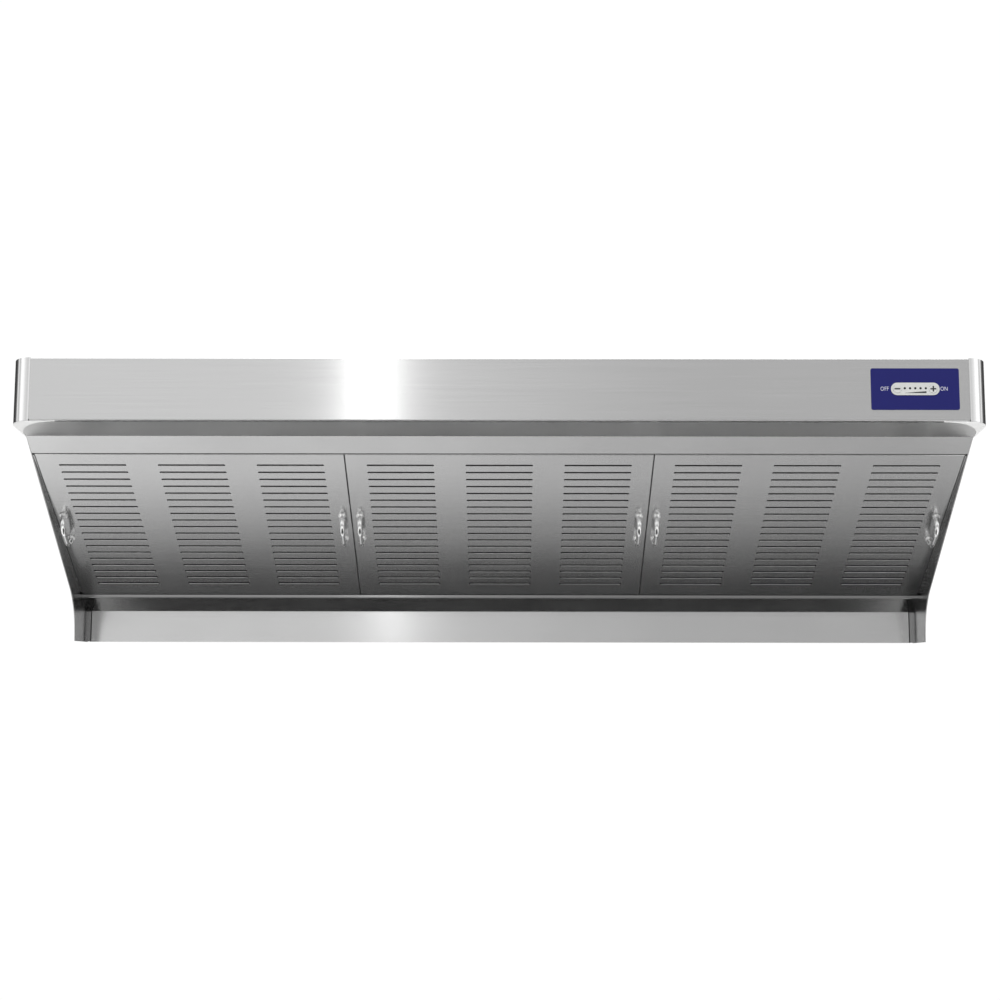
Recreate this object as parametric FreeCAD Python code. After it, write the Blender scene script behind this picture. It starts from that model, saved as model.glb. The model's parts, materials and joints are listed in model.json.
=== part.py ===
import FreeCAD, Part
import math
import os

# Wall-mounted extraction hood with a built-in blower, a folded stainless body and three
# lift-out slotted filter cassettes.  Millimetres, +X right, -Y towards the cook, +Z up.
# The origin is on the wall plane, at the centre of the four wall fixing holes.

V = FreeCAD.Vector

# ---- overall size -----------------------------------------------------------------------
WIDTH = 2000.0
DEPTH = 700.0
HEIGHT = 505.0
FIXING_HEIGHT = 300.0          # height of the wall fixing centre over the cheeks' lowest point

# ---- sheet metal ------------------------------------------------------------------------
SHEET = 1.2
CHEEK_SHEET = 2.0
BEND = 2.0                     # inside radius of a fold
SEAM = 0.2                     # daylight left between neighbouring pieces of one body
RUN_GAP = 0.6                  # clearance between a moving piece and what it moves in

# ---- front ------------------------------------------------------------------------------
FASCIA_HEIGHT = 133.0
CORNER_R = 40.0
HEM_DEPTH = 9.0
HEM_CORNER_R = 6.0             # lower corners of the fascia
FASCIA_RETURN = 25.0
LIP_DEPTH = 120.0
GUSSET_REACH_X = 94.0
GUSSET_REACH_Y = 115.0

# ---- cheeks -----------------------------------------------------------------------------
CHEEK_KNEE_Y = 483.0           # from the front
CHEEK_KNEE_Z = 142.0           # over the lowest point
CHEEK_FOOT_Y = 582.0
CHEEK_BROW_Y = 130.0           # where its sloping edge starts
CHEEK_CURVE_R = 136.0
CHEEK_REAR_RISE = 14.0
CHEEK_FLANGE = 20.0
CHEEK_TOP_R = 8.0
CHEEK_FOOT_R = 2.0
TOP_TURN = 18.0                # depth of the top panel's turned-down edges
GUSSET_TRIM = 0.3              # how far a gusset stays inside the edges around it

# ---- filter plane -----------------------------------------------------------------------
FILTER_ANGLE = 26.85
HEADER_LENGTH = 57.0
HEADER_WALL = 20.0
CASSETTE_TOP = 58.5            # distance down the plane from the header's front edge
CASSETTE_LENGTH = 503.5
CASSETTE_WIDTH = 661.8
CASSETTE_PITCH = 663.0
CASSETTE_THICK = 22.0
FILTER_SHEET = 0.8
SLOT_LENGTH = 145.0
SLOT_WIDTH = 5.0
SLOT_COLUMNS = 3
SLOT_COLUMN_PITCH = 213.0
SLOT_ROWS = 19
SLOT_ROW_PITCH = 23.5
SLOT_FIRST_ROW = 35.3          # from the cassette's upper edge
VENT_ROWS = 7
HANDLE_INSET = 19.0
HANDLE_SPACING = 80.0
HANDLE_STANDOFF = 34.0
HANDLE_BAR_R = 5.5
HANDLE_BEND_R = 26.0
HANDLE_CENTRE = 245.5          # from the cassette's upper edge
FOOT_R = 9.0
FOOT_THICK = 2.5
STUD_R = 2.5
STUD_REACH = 6.0               # how far a stud stands into the tray
NUT_RADIUS = 4.6               # over the corners
NUT_HEIGHT = 4.0
BAFFLE_MARGIN = 34.0           # from the tray's side walls
BAFFLE_LOW = 6.0
VENT_WIDTH = 24.0
DRAIN_HALF_LENGTH = 20.0
DRAIN_LEVELS = (7.0, 13.0)

# ---- cassette seats ---------------------------------------------------------------------
SEAT_START = 4.0               # from the header's wall
SEAT_SHORTER = 12.0            # than the space it stands in
RAIL_LEDGE = 22.0
RAIL_WALL = 18.0
DIVIDER_LEDGE = 18.0
DIVIDER_WEB = 22.0
CLIP_OFFSET = 190.0            # from a cassette's middle
CLIP_HALF_WIDTH = 10.0
CLIP_LEAF = 0.6

# ---- gutter and back --------------------------------------------------------------------
GUTTER_FRONT_Y = 624.0
GUTTER_LIP_TOP = 117.3
GUTTER_LIP_FOOT = 110.0
GUTTER_REAR_FOOT = 88.5
GUTTER_BACK_HEIGHT = 50.0
GUTTER_BEAD_R = 1.6
BACK_GAP = 3.0
BACK_HALF_WIDTH = 990.5
BACK_FOOT = 14.0
RAIL_HEIGHT = 60.0
FIXING_SPACING_X = 1700.0
FIXING_SPACING_Z = 260.0
FIXING_HOLE_R = 4.5
FIXING_ACCESS_R = 8.0

# ---- blower -----------------------------------------------------------------------------
FAN_Y = 480.0
FAN_Z = 362.0
WHEEL_R = 85.0
BLADE_INNER_R = 71.0
WHEEL_HALF_WIDTH = 80.0
WHEEL_RING = 2.5
BLADES = 36
BLADE_THICK = 0.8
BLADE_FIT = 0.4                # gap at both ends of a blade, filled by its crimp
BLADE_BELLY_DEG = 1.5
BLADE_TIP_DEG = 7.0
HUB_R = 16.0
HUB_X = (-18.0, 6.0)
RING_PROUD = 1.5               # rings over the blades' tips
DISC_THICK = 2.0
SCROLL_HALF_WIDTH = 92.0
SCROLL_START_R = 98.0
SCROLL_END_R = 135.0
SCROLL_START_DEG = 80.0
THROAT = 118.0
INLET_R = 72.6
INLET_COLLAR = 9.0
MOTOR_R = 46.0
MOTOR_X = (9.0, 104.0)
MOTOR_EDGE_R = 5.0
MOTOR_GROOVES = 5
MOTOR_GROOVE_DEPTH = 3.0
MOTOR_GROOVE_WIDTH = 4.0
MOTOR_GROOVE_PITCH = 10.0
MOTOR_GROOVE_START = 22.0
BRACKET_RING = 4.0
BRACKET_WIDTH = 9.0
BRACKET_ARMS = 3
ARM_HALF_WIDTH = 9.0
ARM_THICK = 3.0
ARM_REACH = 19.0               # past the inlet's edge
SHAFT_R = 6.0
SHAFT_CLEARANCE = 0.05
SPIGOT_R = 125.0
SPIGOT_HEIGHT = 62.0
COLLAR_PLATE = 290.0
COLLAR_THICK = 2.0
COLLAR_WALL = 1.5
COLLAR_REAR_GAP = 6.0          # from the wall plane
COLLAR_SCREW_INSET = 10.0
FLANGE_RIM = 20.0
FLANGE_THICK = 2.5
SCREW_SHANK_R = 2.0

# ---- supply inlet -----------------------------------------------------------------------
GLAND_X = 700.0
GLAND_Y = -120.0
GLAND_THREAD_R = 10.0
GLAND_BORE_R = 5.5
GLAND_FLATS = 27.0
GLAND_HEX_HEIGHT = 6.0
GLAND_CAP = (12.5, 9.0, 14.0)  # lower radius, upper radius, height
GLAND_THREAD_LENGTH = 12.0
SUPPLY_BOX = (60.0, 40.0, 45.0)  # half length, half width, height
SUPPLY_WALL = 3.0
BOX_CORNER_R = 4.0

# ---- controls ---------------------------------------------------------------------------
PLATE_X = 848.5
PLATE_DROP = 65.5              # plate centre under the top edge
PLATE_WIDTH = 180.0
PLATE_HEIGHT = 87.0
PLATE_THICK = 1.2
PLATE_CORNER_R = 4.0
PILL_LENGTH = 99.0
PILL_HEIGHT = 26.0
PILL_THICK = 1.2
KEY_R = 8.6
KEY_TRAVEL = 1.0
KEY_PROUD = 0.8
KEY_LENGTH = 9.0
LED_R = 2.4
LED_PITCH = 10.7
LED_COUNT = 5
LED_RISE = 1.2                 # LED row over the pill's centre line
BOX_X = 150.0
BOX_Z = 72.0
BOX_DEPTH = 30.0
BOARD_SETBACK = 14.0
BOARD_THICK = 1.6
BOARD_MARGIN = 4.0
BOX_WALL = 2.5
POST_R = 4.0
POST_X = 62.0
POST_Z = 24.0
RELAY = (22.0, 14.0, 10.4)     # half length, half width, height
SWITCH_HALF = 6.0
PLUNGER_R = 3.0

# ---- derived ----------------------------------------------------------------------------
HALF = WIDTH / 2.0
INNER_HALF = HALF - CHEEK_SHEET
Z_FOOT = -FIXING_HEIGHT
Z_TOP = Z_FOOT + HEIGHT
Z_LIP = Z_TOP - FASCIA_HEIGHT
Y_FRONT = -DEPTH
Y_HEADER = Y_FRONT + LIP_DEPTH
SLOPE = math.radians(FILTER_ANGLE)
SEAT_LEVEL = CASSETTE_THICK + RUN_GAP
BOARD_Y = Y_FRONT + BOARD_SETBACK
KEY_FRONT_Y = Y_FRONT - PLATE_THICK - PILL_THICK - KEY_PROUD
UNDER_LID = Z_TOP - SHEET - SEAM
CASSETTE_NAMES = ("left", "middle", "right")


def y_at(from_front):
    """Y of a point a given distance behind the fascia."""
    return Y_FRONT + from_front


def z_at(height):
    """Z of a point a given height over the cheeks' lowest point."""
    return Z_FOOT + height


# ---- general shapes ---------------------------------------------------------------------
def block(x0, x1, y0, y1, z0, z1):
    return Part.makeBox(x1 - x0, y1 - y0, z1 - z0, V(x0, y0, z0))


def rod(centre, axis, radius, length):
    return Part.makeCylinder(radius, length, centre, axis)


def tube(centre, axis, outer_r, inner_r, length):
    return rod(centre, axis, outer_r, length).cut(rod(centre, axis, inner_r, length))


def in_yz(x):
    return lambda p: V(x, p.x, p.y)


def in_xy(z):
    return lambda p: V(p.x, p.y, z)


def in_xz(y):
    return lambda p: V(p.x, y, p.y)


def rounded_wire(corners, to_space):
    """Closed wire through corners (u, v, radius), each one rounded to its own radius."""
    count = len(corners)
    points = [V(u, v, 0) for u, v, _ in corners]
    entries = []
    for i, (_, _, radius) in enumerate(corners):
        here = points[i]
        if radius <= 0:
            entries.append((here, None, here))
            continue
        back = (points[i - 1] - here).normalize()
        ahead = (points[(i + 1) % count] - here).normalize()
        half = math.acos(max(-1.0, min(1.0, back.dot(ahead)))) / 2
        reach = radius / math.tan(half)
        bisector = (back + ahead).normalize()
        middle = here + bisector * (radius / math.sin(half) - radius)
        entries.append((here + back * reach, middle, here + ahead * reach))
    edges = []
    for i, (start, middle, end) in enumerate(entries):
        if middle is not None:
            edges.append(Part.Arc(to_space(start), to_space(middle), to_space(end)).toShape())
        following = entries[(i + 1) % count][0]
        if (following - end).Length > 1e-6:
            edges.append(Part.makeLine(to_space(end), to_space(following)))
    return Part.Wire(edges)


def plate(corners, to_space, thickness):
    """Flat plate with rounded corners, extruded along thickness, a vector."""
    return Part.Face(rounded_wire(corners, to_space)).extrude(thickness)


def rectangle(u0, u1, v0, v1, radius=0.0):
    return [(u0, v0, radius), (u1, v0, radius), (u1, v1, radius), (u0, v1, radius)]


def offset_line(path, distance):
    """The path moved sideways, to its left, with mitred corners."""
    normals = []
    for (u0, v0), (u1, v1) in zip(path, path[1:]):
        length = math.hypot(u1 - u0, v1 - v0)
        normals.append(((v0 - v1) / length, (u1 - u0) / length))
    moved = []
    for i, (u, v) in enumerate(path):
        before = normals[max(i - 1, 0)]
        after = normals[min(i, len(normals) - 1)]
        scale = distance / (1 + before[0] * after[0] + before[1] * after[1])
        moved.append((u + (before[0] + after[0]) * scale, v + (before[1] + after[1]) * scale))
    return moved


def folded_sheet(path, x0, x1, thickness=SHEET, bend=BEND):
    """Sheet folded along a (y, z) path, with its thickness on the path's left side."""
    left = offset_line(path, thickness)
    near, far = [], []
    for i, (u, v) in enumerate(path):
        near_r = far_r = 0.0
        if 0 < i < len(path) - 1:
            (ua, va), (ub, vb) = path[i - 1], path[i + 1]
            turns_left = (u - ua) * (vb - v) - (v - va) * (ub - u) > 0
            near_r = bend + thickness if turns_left else bend
            far_r = bend if turns_left else bend + thickness
        near.append((u, v, near_r))
        far.append((left[i][0], left[i][1], far_r))
    return plate(near + far[::-1], in_yz(x0), V(x1 - x0, 0, 0))


def to_slope(shape):
    """Lay a shape drawn flat, y down the slope and z into the hood, on the filter plane."""
    laid = shape.copy()
    laid.rotate(V(0, 0, 0), V(1, 0, 0), -FILTER_ANGLE)
    laid.translate(V(0, Y_HEADER, Z_LIP))
    return laid


def edges_along(shape, axis):
    """Straight edges of a shape that run along an axis."""
    return [e for e in shape.Edges if abs(e.tangentAt(e.FirstParameter).dot(axis)) > 0.9]


def mirrored(shape):
    return shape.mirror(V(0, 0, 0), V(1, 0, 0))


def pan_head(centre, axis, head_r, head_h, shank_r, shank_l):
    """Screw with a domed head and a driving recess; axis points from the head into the work."""
    head = Part.makeCylinder(head_r, head_h, V(0, 0, -head_h), V(0, 0, 1))
    head = head.makeFillet(head_h * 0.45, [head.Edges[2]])
    recess = Part.makeCylinder(head_r * 0.4, head_h * 0.5, V(0, 0, -head_h), V(0, 0, 1))
    shank = Part.makeCylinder(shank_r, shank_l, V(0, 0, 0), V(0, 0, 1))
    screw = head.cut(recess).fuse(shank)
    screw.Placement = FreeCAD.Placement(centre, FreeCAD.Rotation(V(0, 0, 1), axis))
    return screw


# ---- casing -----------------------------------------------------------------------------
def fascia_panel():
    """Front face with its top return and the tight hem that closes its lower edge."""
    half = HALF - CORNER_R - SEAM
    path = [
        (Y_FRONT + HEM_DEPTH, Z_LIP),
        (Y_FRONT, Z_LIP),
        (Y_FRONT, Z_TOP),
        (Y_FRONT + FASCIA_RETURN, Z_TOP),
    ]
    sheet = folded_sheet(path[::-1], -half, half)
    outline = [
        (-half, Z_LIP, HEM_CORNER_R),
        (half, Z_LIP, HEM_CORNER_R),
        (half, Z_TOP, 0),
        (-half, Z_TOP, 0),
    ]
    face_zone = plate(outline, in_xz(Y_FRONT - 1), V(0, FASCIA_RETURN + 2, 0))
    sheet = sheet.common(face_zone)
    for hole in key_holes(KEY_R + 2 * RUN_GAP) + [led_window()]:
        sheet = sheet.cut(hole)
    return sheet


def corner_cap():
    """Quarter-round corner that joins the fascia to the right cheek."""
    centre = V(HALF - CORNER_R, Y_FRONT + CORNER_R, Z_LIP)
    outer = Part.makeCylinder(CORNER_R, FASCIA_HEIGHT, centre, V(0, 0, 1))
    inner = Part.makeCylinder(CORNER_R - CHEEK_SHEET, FASCIA_HEIGHT, centre, V(0, 0, 1))
    quarter = block(centre.x, HALF, Y_FRONT, centre.y, Z_LIP, Z_TOP)
    wall = outer.cut(inner).common(quarter)
    lid_zone = block(centre.x, HALF, Y_FRONT, Y_FRONT + FASCIA_RETURN, Z_TOP - SHEET, Z_TOP)
    return wall.fuse(outer.common(lid_zone)).removeSplitter()


def corner_gusset():
    """Plate under the right corner: round outside, an elliptical bite inside."""
    thickness = V(0, 0, SHEET)
    underside = Z_LIP - SHEET - SEAM
    inner_x = HALF - GUSSET_REACH_X
    narrowest_x, narrowest_y = 3.0, 1.5
    outline = [
        (inner_x, Y_FRONT + GUSSET_TRIM, 0),
        (HALF - GUSSET_TRIM, Y_FRONT + GUSSET_TRIM, CORNER_R - GUSSET_TRIM),
        (HALF - GUSSET_TRIM, Y_HEADER - 1.0, 0),
        (inner_x, Y_HEADER - 1.0, 0),
    ]
    body = plate(outline, in_xy(underside), thickness)
    centre = V(inner_x, Y_FRONT + GUSSET_REACH_Y, underside)
    ellipse = Part.Ellipse(centre, GUSSET_REACH_Y - narrowest_y, GUSSET_REACH_X - narrowest_x).toShape()
    ellipse.rotate(centre, V(0, 0, 1), 90)
    return body.cut(Part.Face(Part.Wire([ellipse])).extrude(thickness))


def cheek_outline():
    """Side of the hood as (y, z, radius) corners, drawn from behind the corner cap."""
    knee = V(y_at(CHEEK_KNEE_Y), z_at(CHEEK_KNEE_Z), 0)
    start = V(y_at(CHEEK_BROW_Y), Z_LIP, 0)
    slope = (knee.y - start.y) / (knee.x - start.x)
    foot_y = y_at(CHEEK_FOOT_Y)
    corner_z = start.y + slope * (foot_y - start.x)
    return [
        (Y_FRONT + CORNER_R + SEAM, Z_TOP, 0),
        (Y_FRONT + CORNER_R + SEAM, Z_LIP, 0),
        (start.x, Z_LIP, CHEEK_TOP_R),
        (foot_y, corner_z, CHEEK_CURVE_R),
        (foot_y, Z_FOOT, CHEEK_FOOT_R),
        (0, Z_FOOT + CHEEK_REAR_RISE, 0),
        (0, Z_TOP, 0),
    ]


def cheek():
    """Right side plate with a return flange along the wall."""
    side = plate(cheek_outline(), in_yz(INNER_HALF), V(CHEEK_SHEET, 0, 0))
    flange = block(
        HALF - CHEEK_FLANGE, INNER_HALF, -SHEET, 0, Z_FOOT + CHEEK_REAR_RISE + 1, UNDER_LID
    )
    return side.fuse(flange).removeSplitter()


def inside_corners(z0, z1):
    """Space between the cheeks and inside the two round front corners."""
    half = INNER_HALF - SEAM
    front = Y_FRONT + CHEEK_SHEET + SEAM
    rounding = CORNER_R - CHEEK_SHEET - SEAM
    corners = [(-half, front, rounding), (half, front, rounding), (half, 0, 0), (-half, 0, 0)]
    return plate(corners, in_xy(z0), V(0, 0, z1 - z0))


def underside_lip():
    """Level plate between the fascia's hem and the header."""
    lip = block(-HALF, HALF, Y_FRONT + HEM_DEPTH + SEAM, Y_HEADER - 0.6, Z_LIP, Z_LIP + SHEET)
    return lip.common(inside_corners(Z_LIP - 1, Z_LIP + SHEET + 1))


def header_trim():
    """Upper filter rail: a strip in the filter plane with a seat wall turned up behind it."""
    half = INNER_HALF - SEAM
    path = [(0, 0), (HEADER_LENGTH, 0), (HEADER_LENGTH, HEADER_WALL)]
    return to_slope(folded_sheet(path, -half, half, bend=1.0))


def top_panel():
    """Lid with turned-down edges, the blower outlet and the gland hole."""
    half = INNER_HALF - SEAM
    y0 = Y_FRONT + FASCIA_RETURN + SEAM
    y1 = -BACK_GAP - SHEET - SEAM
    lid = block(-half, half, y0, y1, Z_TOP - SHEET, Z_TOP)
    lid = lid.common(inside_corners(Z_TOP - 2 * SHEET, Z_TOP + SHEET))
    side_front = Y_FRONT + CORNER_R + 4
    for side in (-1, 1):
        x0, x1 = sorted((side * (half - SHEET), side * half))
        lid = lid.fuse(block(x0, x1, side_front, y1, Z_TOP - TOP_TURN, Z_TOP - SHEET))
    lid = lid.fuse(block(-half, half, y1 - SHEET, y1, Z_TOP - TOP_TURN, Z_TOP - SHEET))
    x_out, y_out = outlet_span()
    lid = lid.cut(block(x_out[0], x_out[1], y_out[0], y_out[1], Z_TOP - 9, Z_TOP + 9))
    lid = lid.cut(rod(gland_centre() + V(0, 0, -9), V(0, 0, 1), GLAND_THREAD_R + SEAM, 18))
    for point in collar_screw_points():
        lid = lid.cut(rod(point + V(0, 0, -20), V(0, 0, 1), SCREW_SHANK_R + SEAM, 40))
    return lid.removeSplitter()


def back_panel():
    """Rear sheet; its lower end shows under the gutter."""
    y1 = -BACK_GAP
    sheet = block(
        -BACK_HALF_WIDTH, BACK_HALF_WIDTH, y1 - SHEET, y1, Z_FOOT + BACK_FOOT, UNDER_LID
    )
    for x in (-FIXING_SPACING_X / 2, FIXING_SPACING_X / 2):
        for z in (-FIXING_SPACING_Z / 2, FIXING_SPACING_Z / 2):
            sheet = sheet.cut(rod(V(x, y1 - 5, z), V(0, 1, 0), FIXING_ACCESS_R, 10))
    return sheet


def wall_rail(z_centre):
    """Flat bar behind the back panel that carries two of the wall fixing holes."""
    half = HALF - CHEEK_FLANGE - SEAM
    bar = block(-half, half, -BACK_GAP + SEAM / 2, 0, z_centre - RAIL_HEIGHT / 2, z_centre + RAIL_HEIGHT / 2)
    for x in (-FIXING_SPACING_X / 2, FIXING_SPACING_X / 2):
        bar = bar.cut(rod(V(x, -9, z_centre), V(0, 1, 0), FIXING_HOLE_R, 18))
    return bar


def grease_gutter():
    """Trough under the cassettes' lower edges, hemmed along its front lip."""
    half = INNER_HALF - SEAM
    front = y_at(GUTTER_FRONT_Y)
    rear = -BACK_GAP - SHEET - SEAM
    path = [
        (front, z_at(GUTTER_LIP_TOP)),
        (front, z_at(GUTTER_LIP_FOOT)),
        (rear, z_at(GUTTER_REAR_FOOT)),
        (rear, z_at(GUTTER_REAR_FOOT + GUTTER_BACK_HEIGHT)),
    ]
    trough = folded_sheet(path, -half, half, bend=1.0)
    bead_centre = V(-half, front + GUTTER_BEAD_R, z_at(GUTTER_LIP_TOP))
    bead = rod(bead_centre, V(1, 0, 0), GUTTER_BEAD_R, 2 * half)
    return trough.fuse(bead).removeSplitter()


# ---- cassette seats ---------------------------------------------------------------------
def seat_span():
    """Where the rails and dividers start and end, down the slope."""
    start = HEADER_LENGTH + SEAT_START
    return start, start + CASSETTE_TOP + CASSETTE_LENGTH - HEADER_LENGTH - SEAT_SHORTER


def side_rail():
    """Angle along the right cheek that the cassette sits up against."""
    x1 = INNER_HALF - SEAM
    start, end = seat_span()
    flat = block(x1 - RAIL_LEDGE, x1, start, end, SEAT_LEVEL, SEAT_LEVEL + SHEET)
    wall = block(x1 - SHEET, x1, start, end, SEAT_LEVEL, SEAT_LEVEL + RAIL_WALL)
    return to_slope(flat.fuse(wall).removeSplitter())


def filter_divider(x):
    """Upside-down tee over the joint between two cassettes."""
    start, end = seat_span()
    flat = block(x - DIVIDER_LEDGE, x + DIVIDER_LEDGE, start, end, SEAT_LEVEL, SEAT_LEVEL + SHEET)
    web = block(x - SHEET, x + SHEET, start, end, SEAT_LEVEL, SEAT_LEVEL + DIVIDER_WEB)
    return to_slope(flat.fuse(web).removeSplitter())


def filter_catches():
    """Spring clips over the header's seat wall, two for each cassette."""
    front = HEADER_LENGTH - SHEET - SEAM - CLIP_LEAF
    rear = HEADER_LENGTH + SEAM + CLIP_LEAF
    top = HEADER_WALL + SEAM + CLIP_LEAF
    path = [(rear, 7.0), (rear, top), (front, top), (front, 11.0)]
    clips = []
    for centre in cassette_centres():
        for side in (-1, 1):
            x = centre + side * CLIP_OFFSET
            x0, x1 = x - CLIP_HALF_WIDTH, x + CLIP_HALF_WIDTH
            clips.append(to_slope(folded_sheet(path, x0, x1, thickness=CLIP_LEAF, bend=0.2)))
    return clips


# ---- filter cassettes -------------------------------------------------------------------
def cassette_centres():
    return [(i - 1) * CASSETTE_PITCH for i in range(3)]


def slot(x, y, length, width, depth):
    """Round-ended slot cutter centred on (x, y), drawn flat."""
    outline = rectangle(x - length / 2, x + length / 2, y - width / 2, y + width / 2, width / 2 - 0.01)
    return plate(outline, in_xy(-depth), V(0, 0, 2 * depth))


def slot_rows():
    return [CASSETTE_TOP + SLOT_FIRST_ROW + i * SLOT_ROW_PITCH for i in range(SLOT_ROWS)]


def slot_columns(centre):
    middle = (SLOT_COLUMNS - 1) / 2
    return [centre + (i - middle) * SLOT_COLUMN_PITCH for i in range(SLOT_COLUMNS)]


def cassette_face(centre):
    """Slotted tray: the face that shows, with four walls folded into the hood."""
    x0, x1 = centre - CASSETTE_WIDTH / 2, centre + CASSETTE_WIDTH / 2
    y0, y1 = CASSETTE_TOP, CASSETTE_TOP + CASSETTE_LENGTH
    wall = FILTER_SHEET
    outer = block(x0, x1, y0, y1, 0, CASSETTE_THICK - wall - SEAM)
    edges = [e for e in outer.Edges if max(v.Z for v in e.Vertexes) < 0.01]
    outer = outer.makeFillet(1.5, edges)
    hollow = block(x0 + wall, x1 - wall, y0 + wall, y1 - wall, wall, CASSETTE_THICK)
    tray = outer.cut(hollow)
    cutters = [slot(x, y, SLOT_LENGTH, SLOT_WIDTH, 5) for x in slot_columns(centre) for y in slot_rows()]
    for x, y in handle_feet(centre):
        cutters.append(rod(V(x, y, -5), V(0, 0, 1), STUD_R + SEAM, 10))
    for x in slot_columns(centre):
        cutters.append(block(x - DRAIN_HALF_LENGTH, x + DRAIN_HALF_LENGTH, y1 - 5, y1 + 5, *DRAIN_LEVELS))
    return to_slope(tray.cut(Part.makeCompound(cutters)))


def cassette_baffle(centre):
    """Corrugated sheet inside the tray: one fold across each row of slots."""
    low, high = BAFFLE_LOW, CASSETTE_THICK - 3 * FILTER_SHEET
    path = []
    for y in slot_rows():
        path.append((y - SLOT_ROW_PITCH / 2, low))
        path.append((y, high))
    path.append((slot_rows()[-1] + SLOT_ROW_PITCH / 2, low))
    reach = CASSETTE_WIDTH / 2 - BAFFLE_MARGIN
    x0, x1 = centre - reach, centre + reach
    return to_slope(folded_sheet(path, x0, x1, thickness=FILTER_SHEET, bend=1.0))


def cassette_back(centre):
    """Rear sheet of the cassette with wide vents."""
    inset = 1.0
    x0, x1 = centre - CASSETTE_WIDTH / 2 + inset, centre + CASSETTE_WIDTH / 2 - inset
    y0, y1 = CASSETTE_TOP + inset, CASSETTE_TOP + CASSETTE_LENGTH - inset
    sheet = block(x0, x1, y0, y1, CASSETTE_THICK - FILTER_SHEET, CASSETTE_THICK)
    pitch = CASSETTE_LENGTH / (VENT_ROWS + 1)
    cutters = []
    for x in slot_columns(centre):
        for i in range(VENT_ROWS):
            y = CASSETTE_TOP + (i + 1) * pitch
            vent = slot(x, y, SLOT_LENGTH, VENT_WIDTH, 6)
            vent.translate(V(0, 0, CASSETTE_THICK))
            cutters.append(vent)
    return to_slope(sheet.cut(Part.makeCompound(cutters)))


def handle_feet(centre):
    feet = []
    for side in (-1, 1):
        x = centre + side * (CASSETTE_WIDTH / 2 - HANDLE_INSET)
        for step in (-0.5, 0.5):
            feet.append((x, CASSETTE_TOP + HANDLE_CENTRE + step * HANDLE_SPACING))
    return feet


def handle(x):
    """Bow handle bent from round bar, with a washer foot and a stud at each end."""
    y0 = CASSETTE_TOP + HANDLE_CENTRE - HANDLE_SPACING / 2
    y1 = y0 + HANDLE_SPACING
    low = -HANDLE_STANDOFF
    lean = HANDLE_BEND_R * math.sqrt(0.5)
    r = HANDLE_BEND_R
    path = Part.Wire([
        Part.makeLine(V(x, y0, -SEAM), V(x, y0, low + r)),
        Part.Arc(V(x, y0, low + r), V(x, y0 + r - lean, low + r - lean), V(x, y0 + r, low)).toShape(),
        Part.makeLine(V(x, y0 + r, low), V(x, y1 - r, low)),
        Part.Arc(V(x, y1 - r, low), V(x, y1 - r + lean, low + r - lean), V(x, y1, low + r)).toShape(),
        Part.makeLine(V(x, y1, low + r), V(x, y1, -SEAM)),
    ])
    profile = Part.Wire([Part.Circle(V(x, y0, -SEAM), V(0, 0, 1), HANDLE_BAR_R).toShape()])
    bow = path.makePipeShell([profile], True, False)
    for y in (y0, y1):
        foot = rod(V(x, y, -SEAM - FOOT_THICK), V(0, 0, 1), FOOT_R, FOOT_THICK)
        stud = rod(V(x, y, -SEAM - 1), V(0, 0, 1), STUD_R, 1 + SEAM + SHEET + STUD_REACH)
        bow = bow.fuse(foot).fuse(stud)
    return bow.removeSplitter()


def cassette_handles(centre):
    reach = CASSETTE_WIDTH / 2 - HANDLE_INSET
    return [to_slope(handle(centre + side * reach)) for side in (-1, 1)]


def handle_nuts(centre):
    """Hexagon nuts on the handle studs, inside the tray."""
    nuts = []
    for x, y in handle_feet(centre):
        seat = V(x, y, SHEET + SEAM)
        nut = hexagon_bar(seat, NUT_RADIUS * math.sqrt(3), NUT_HEIGHT)
        nuts.append(to_slope(nut.cut(rod(V(x, y, 0), V(0, 0, 1), STUD_R, 12))))
    return nuts


# ---- blower -----------------------------------------------------------------------------
def fan_centre(x=0.0):
    return V(x, y_at(FAN_Y), z_at(FAN_Z))


def outlet_span():
    """x and y limits of the clear way out of the scroll."""
    y1 = y_at(FAN_Y) + SCROLL_END_R
    return (-SCROLL_HALF_WIDTH, SCROLL_HALF_WIDTH), (y1 - THROAT, y1)


def spiral_points(offset):
    """Points of the scroll's wall, from the tongue round to the outlet's rear wall."""
    steps = 12
    sweep = 360.0 - SCROLL_START_DEG
    points = []
    for i in range(steps + 1):
        angle = math.radians(SCROLL_START_DEG + sweep * i / steps)
        radius = SCROLL_START_R + (SCROLL_END_R - SCROLL_START_R) * i / steps + offset
        points.append(fan_centre() + V(0, radius * math.cos(angle), radius * math.sin(angle)))
    return points


def smooth_edge(points):
    curve = Part.BSplineCurve()
    curve.interpolate(points)
    return curve.toShape()


def scroll_wrapper():
    """Spiral wall with the straight outlet duct above it, open at both sides."""
    inner, outer = spiral_points(0), spiral_points(SHEET)
    edges = [
        smooth_edge(inner),
        Part.makeLine(inner[-1], V(0, inner[-1].y, UNDER_LID)),
        Part.makeLine(V(0, inner[-1].y, UNDER_LID), V(0, outer[-1].y, UNDER_LID)),
        Part.makeLine(V(0, outer[-1].y, UNDER_LID), outer[-1]),
        smooth_edge(outer[::-1]),
        Part.makeLine(outer[0], inner[0]),
    ]
    wall = Part.Face(Part.Wire(edges))
    wall = wall.extrude(V(2 * SCROLL_HALF_WIDTH, 0, 0))
    wall.translate(V(-SCROLL_HALF_WIDTH, 0, 0))
    x_out, y_out = outlet_span()
    tongue = block(x_out[0], x_out[1], y_out[0] - SHEET, y_out[0], inner[0].z - 8, UNDER_LID)
    return wall.fuse(tongue).removeSplitter()


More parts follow.
